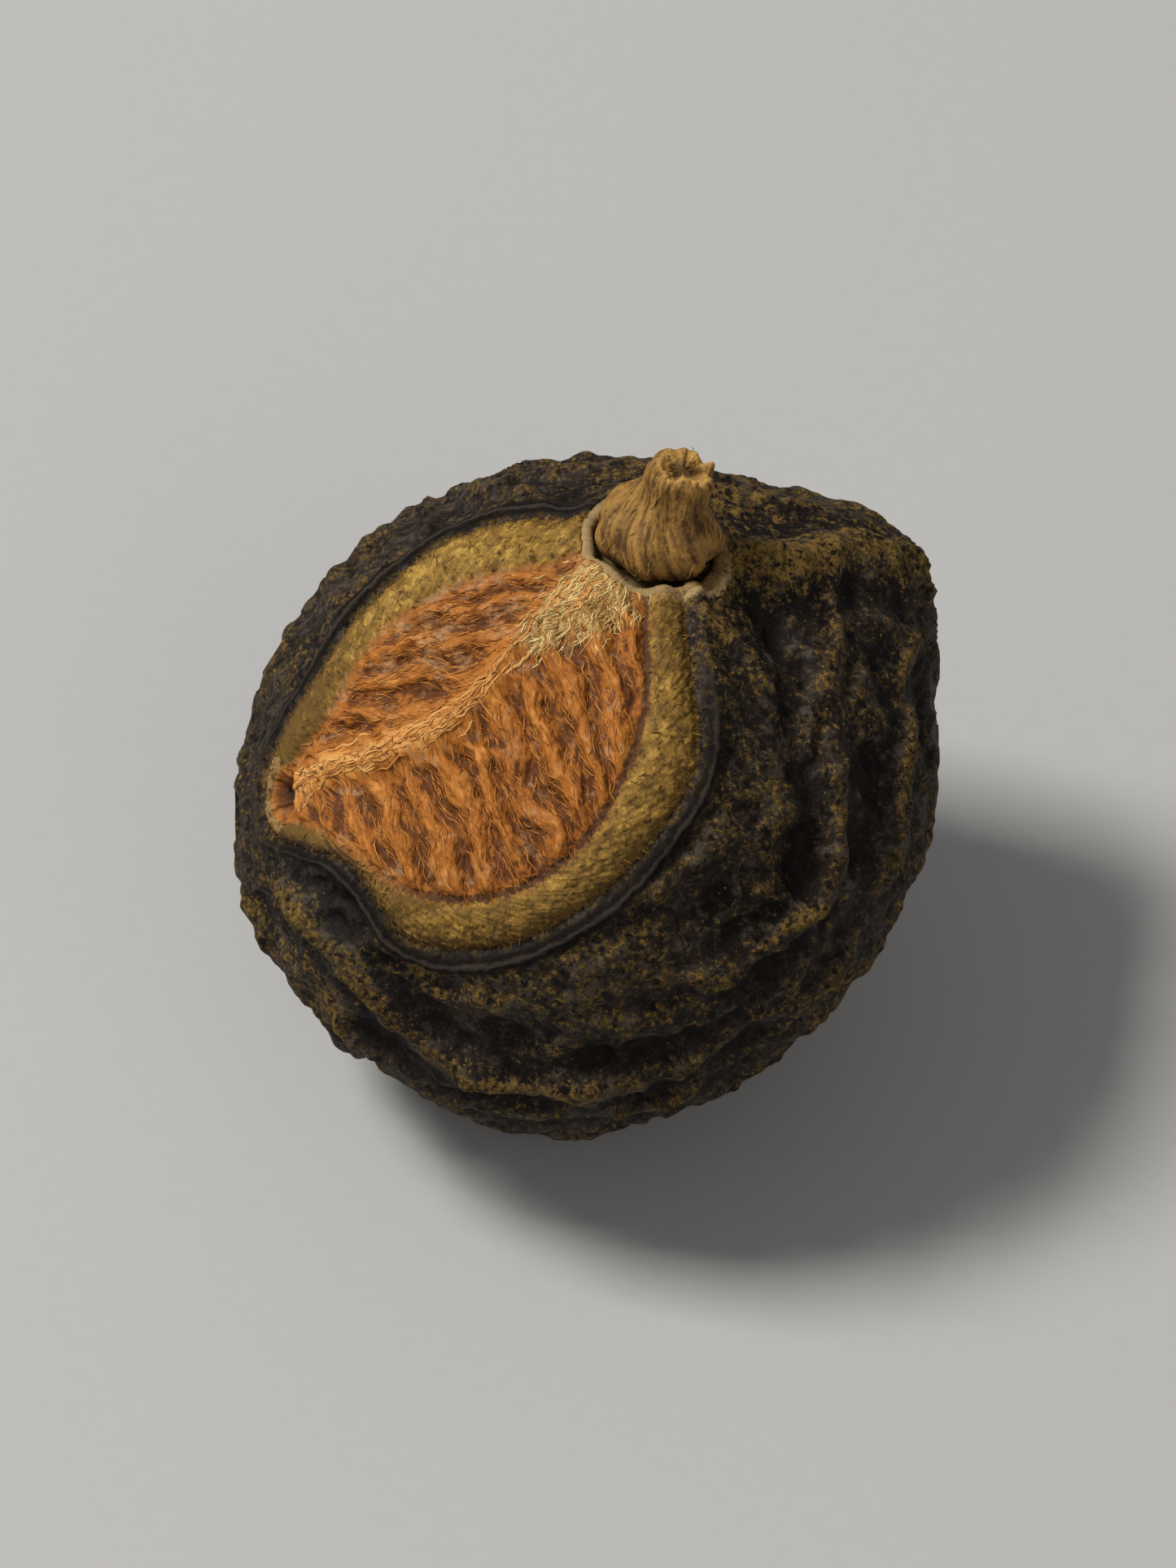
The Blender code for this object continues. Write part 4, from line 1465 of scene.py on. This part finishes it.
# %% [markdown]
# ## The stub's grain
# Fibres run up the stub at a slight slant. They are pushed out and in by streaky noise, with fine
# crumbs where the end is broken, and a few loose ones lie along the bark.


# %% Stub grain tree
def stub_grain():
    g = GeometryGraph("Stub grain", {"Fibre height": "Float", "Crumb height": "Float"})
    stalk = g.named("stalk_place", "FLOAT_VECTOR") * 1000.0
    bundle = g.streaks(stalk, (0.50, 1.3, 0.50), 1.0)
    thread = g.streaks(stalk, (0.20, 0.7, 0.20), 2.0)
    crumb = g.noise(g.place_mm(), 0.16, 3.0, 0.65)
    height = g.input("Fibre height") * (bundle * 0.6 + thread * 0.4 - 0.5) * g.named("bark")
    height = height + g.input("Crumb height") * (crumb - 0.5) * (0.3 + 0.7 * g.named("broken"))
    return g.finish(g.store(g.raise_by(height), "relief", thread + bundle - 1))


stub_tree = stub_grain()
stub = run_tree(stub_tree, stub_ground, {
    "Fibre height": 0.26 * MM, "Crumb height": 0.20 * MM, "Finish": finishes["stalk"],
}, "stalk_stub_fine")
stub_strands = run_tree(strand_tree, stub.data, {
    "Where": "bark", "Along": "bark_flow", "Count per mm2": 5.0, "Shortest": 0.3 * MM,
    "Longest": 0.9 * MM, "Thickness": 0.022 * MM, "Stray": 0.35, "Lift": 0.004 * MM,
    "Rise": 0.16 * MM, "Bow": 0.3 * MM, "Points": 6, "Sides": 4, "Seed": 15,
    "Finish": finishes["stalk_fibre"],
}, "stub_strands")

# %% [markdown]
# ## The rim of the socket
# A thin corky rim rings the foot of the stub. It follows the top of the socket's wall, so it
# rises and dips with the skin. A torus could be laid round the foot, but it would float over the
# dips and sink into the rises. On the side of the scar the rim is pale cork, elsewhere it is
# darkened as painted shade.

# %% Socket rim
RIM_SIDES = 220
RIM_FACES = 20
RIM_MIDDLE = 2.10 * MM
RIM_THICKNESS = 0.25 * MM
RIM_SINK = 0.06 * MM
RIM_BELOW = 0.6
RIM_EASE = 3
RIM_LUMPS = 3
RIM_LUMP_SHARE = 0.22
RIM_SEED = 51.0
RIM_GRAIN_RADIUS = 2 * MM
# Painted shade on the rim away from its pale side.
RIM_SHADE = 0.75
CORK_PLACE = (2, 46)
CORK_REACH = 2.9 * MM


def wall_top(turns):
    """How high the wall's top stands over the socket's floor, at each angle round the stalk."""
    slant = math.asin((SOCKET_RADIUS + SOCKET_WALL) / STALK_SURFACE)
    seen = math.cos(slant) * stalk_axis + math.sin(slant) * away_from_stalk(turns)
    form, _ = fruit_form(seen)
    return form * math.cos(slant) - SOCKET_FLOOR


rim_turns, lap = turns_of(RIM_SIDES), turns_of(RIM_FACES)
tops = wall_top(rim_turns) - RIM_SINK
tops = (np.roll(tops, RIM_EASE) + np.roll(tops, -RIM_EASE) + tops) / 3
uneven = 1 + RIM_LUMP_SHARE * ring_noise(rim_turns, RIM_LUMPS, RIM_SEED)
from_axis = RIM_MIDDLE + RIM_THICKNESS * uneven[:, None] * np.cos(lap)[None]
rise = tops[:, None] + RIM_THICKNESS * uneven[:, None] * (np.sin(lap)[None] - RIM_BELOW)
outwards = from_axis[..., None] * away_from_stalk(rim_turns)[:, None]
points = (foot + outwards + rise[..., None] * stalk_axis).reshape(-1, 3)
faces = [[a, d, c, b] for a, b, c, d in band_faces(RIM_SIDES, RIM_FACES, closed=True)]
pale_rim = bell(distance_over(unit(points - CENTRE), place(*CORK_PLACE)), CORK_REACH)
grain_turns = np.repeat(rim_turns, RIM_FACES)
grain_across = RIM_GRAIN_RADIUS * np.cos(grain_turns) * RIM_LUMPS
grain_along = RIM_GRAIN_RADIUS * np.sin(grain_turns) * RIM_LUMPS
rim_ground = mesh_from("rim_ground", points, faces, {
    "stalk_place": np.stack([grain_across, rise.ravel(), grain_along], axis=1),
    "cork": pale_rim,
    "bark": np.ones(len(points)),
    "shaded": RIM_SHADE * (1 - pale_rim),
})
socket_rim = run_tree(stub_tree, rim_ground, {
    "Fibre height": 0.16 * MM, "Crumb height": 0.18 * MM, "Finish": finishes["stalk"],
}, "socket_rim")

# %% [markdown]
# ## Flakes on the skin
# The dry skin sheds: thin flakes of its bloom cling to it, most of them where it is olive and
# none on the lip. They are small flat chips of twenty faces, scattered by a mark.


# %% Flake tree
FLAKE_INPUTS = {
    "Where": "String", "Count per mm2": "Float", "Smallest": "Float", "Largest": "Float",
    "Seed": "Int",
}


def flakes():
    g = GeometryGraph("Flakes", FLAKE_INPUTS)
    roots = g.scattered()
    size = g.random(g.input("Smallest"), g.input("Largest"), 2)
    chip = g.add("GeometryNodeMeshIcoSphere", None, {"Radius": 0.5, "Subdivisions": 1})
    sockets = {"X": size, "Y": size * 0.7, "Z": size * 0.35}
    return g.finish(g.add("GeometryNodeInstanceOnPoints", None, {
        "Points": g.store(roots, "tint", g.random(0.0, 1.0, 1)), "Instance": chip,
        "Rotation": roots.output("Rotation"), "Scale": g.add("ShaderNodeCombineXYZ", None, sockets),
    }))


flake_place = skin.data.attributes.new("flake_place", "FLOAT", "POINT")
off_lip = 1 - bell(skin_marks["from_lip"], LIP_WIDTH)
shed = skin_marks["wrinkled"] * (0.15 + skin_marks["olive"]) * off_lip
flake_place.data.foreach_set("value", shed.astype(np.float32))
skin_flakes = run_tree(flakes(), skin.data, {
    "Where": "flake_place", "Count per mm2": 3.0, "Smallest": 0.05 * MM, "Largest": 0.13 * MM,
    "Seed": 21, "Finish": finishes["flake"],
}, "skin_flakes")

# %% [markdown]
# ## Joining the plain solids' frame
# Each piece is listed with the plain solid it stands for and what it is made of, and that solid
# is hidden. All of them are kept inside the box of the plain solids, because that box is the
# fruit's stated size.


# %% Pieces and what they stand for
PIECES = (
    (skin, "fruit", "dried_skin"),
    (skin_flakes, "fruit", "dried_skin"),
    (scar, "fruit", "scar_fibre"),
    (facet_fibres, "fruit", "scar_fibre"),
    (keel_strands, "fruit", "scar_fibre"),
    (cream_net, "fruit", "scar_fibre"),
    (border_nap, "fruit", "scar_border"),
    (socket_rim, "fruit", "scar_fibre"),
    (stub, "stalk_stub", "dry_stalk"),
    (stub_strands, "stalk_stub", "dry_stalk"),
)
low, high = np.array(cad_low), np.array(cad_high)
for piece, node, slot in PIECES:
    mesh = piece.data
    co = np.empty(len(mesh.vertices) * 3, dtype=np.float32)
    mesh.vertices.foreach_get("co", co)
    kept = np.clip(co.reshape(-1, 3), low, high)
    moved = np.abs(kept - co.reshape(-1, 3)).max()
    mesh.vertices.foreach_set("co", kept.astype(np.float32).ravel())
    mesh.shade_smooth()
    mesh.update()
    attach(piece, "root")
    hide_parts(node)
    print(f"{piece.name}: for {node}, {slot}, pulled in {moved / MM:.3f} mm at most")

# %% [markdown]
# ## The picture
# The fruit lies on a pale table and is seen from 50 degrees above it through a long lens, as in a
# product photograph. The table belongs to the picture alone, so it is a stage and not a piece.

# %% Table and camera
TABLE_SIDE = 3.0
TABLE_SHADE = (0.41, 0.415, 0.42)
TABLE_PALE = (0.43, 0.435, 0.44)
ELEVATION = math.radians(50)
CAMERA_DISTANCE = 0.27
AIM_OVER_MIDDLE = 0.6 * MM
scene = bpy.context.scene
table_mesh = bpy.data.meshes.new("table")
table_corners = [(-1, -1), (1, -1), (1, 1), (-1, 1)]
table_points = [(x * TABLE_SIDE, y * TABLE_SIDE, 0) for x, y in table_corners]
table_mesh.from_pydata(table_points, [], [(0, 1, 2, 3)])
table = bpy.data.objects.new("table", table_mesh)
scene.collection.objects.link(table)
table_finish = Finish("Pale table")
paper = table_finish.noise(table_finish.place_mm(), 0.6, 3.0)
table_colour = table_finish.blend(paper, TABLE_SHADE, TABLE_PALE)
table_mesh.materials.append(table_finish.complete(table_colour, 0.8))
table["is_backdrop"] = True

camera = bpy.data.objects.new("camera", bpy.data.cameras.new("camera"))
scene.collection.objects.link(camera)
camera.data.lens = 200
camera.data.sensor_width = 36
camera.data.clip_start = 0.01
aim = Vector(CENTRE) + Vector((0.0, 0.0, AIM_OVER_MIDDLE))
back = Vector((0, -math.cos(ELEVATION), math.sin(ELEVATION)))
camera.location = aim + back * CAMERA_DISTANCE
camera.rotation_euler = back.to_track_quat("Z", "Y").to_euler()
scene.camera = camera
print("camera", [round(x, 3) for x in camera.location])

# %% [markdown]
# ## Light
# One big soft light stands up to the left, a little behind, so the shadow falls to the lower
# right. A weak light from the front keeps the shaded skin readable, and the room adds a little
# more.


# %% Lights
WARM_WHITE = (1.0, 0.97, 0.92)


def soft_light(name, direction, distance, size, watts, colour):
    """A square light of this size, seen from the fruit in this direction."""
    lamp = bpy.data.lights.new(name, "AREA")
    lamp.size = size
    lamp.energy = watts
    lamp.color = colour
    holder = bpy.data.objects.new(name, lamp)
    scene.collection.objects.link(holder)
    holder.location = Vector(CENTRE) + Vector(direction).normalized() * distance
    holder.rotation_euler = Vector(direction).to_track_quat("Z", "Y").to_euler()
    print(f"{name}: {watts} W from {direction}")


soft_light("key light", (-0.60, 0.08, 1.0), 0.5, 0.14, 2.7, WARM_WHITE)
soft_light("fill light", (0.5, -0.9, 0.7), 0.6, 0.45, 0.55, WARM_WHITE)
world = bpy.data.worlds.new("soft room")
scene.world = world
world.use_nodes = True
room = world.node_tree.nodes["Background"].inputs
room["Color"].default_value = (1.0, 0.97, 0.93, 1)
room["Strength"].default_value = 0.24
scene.view_settings.view_transform = "Standard"

# %% [markdown]
# ## The size stays the same
# The dressed fruit must be as large as the plain solids, so both boxes are written down to
# compare.

# %% Sizes, and done
new_low, new_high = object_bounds()
grown = [round((n - c) / MM, 3) for n, c in zip((*new_low, *new_high), (*cad_low, *cad_high))]
print("visual box minus solid box, in mm:", grown)
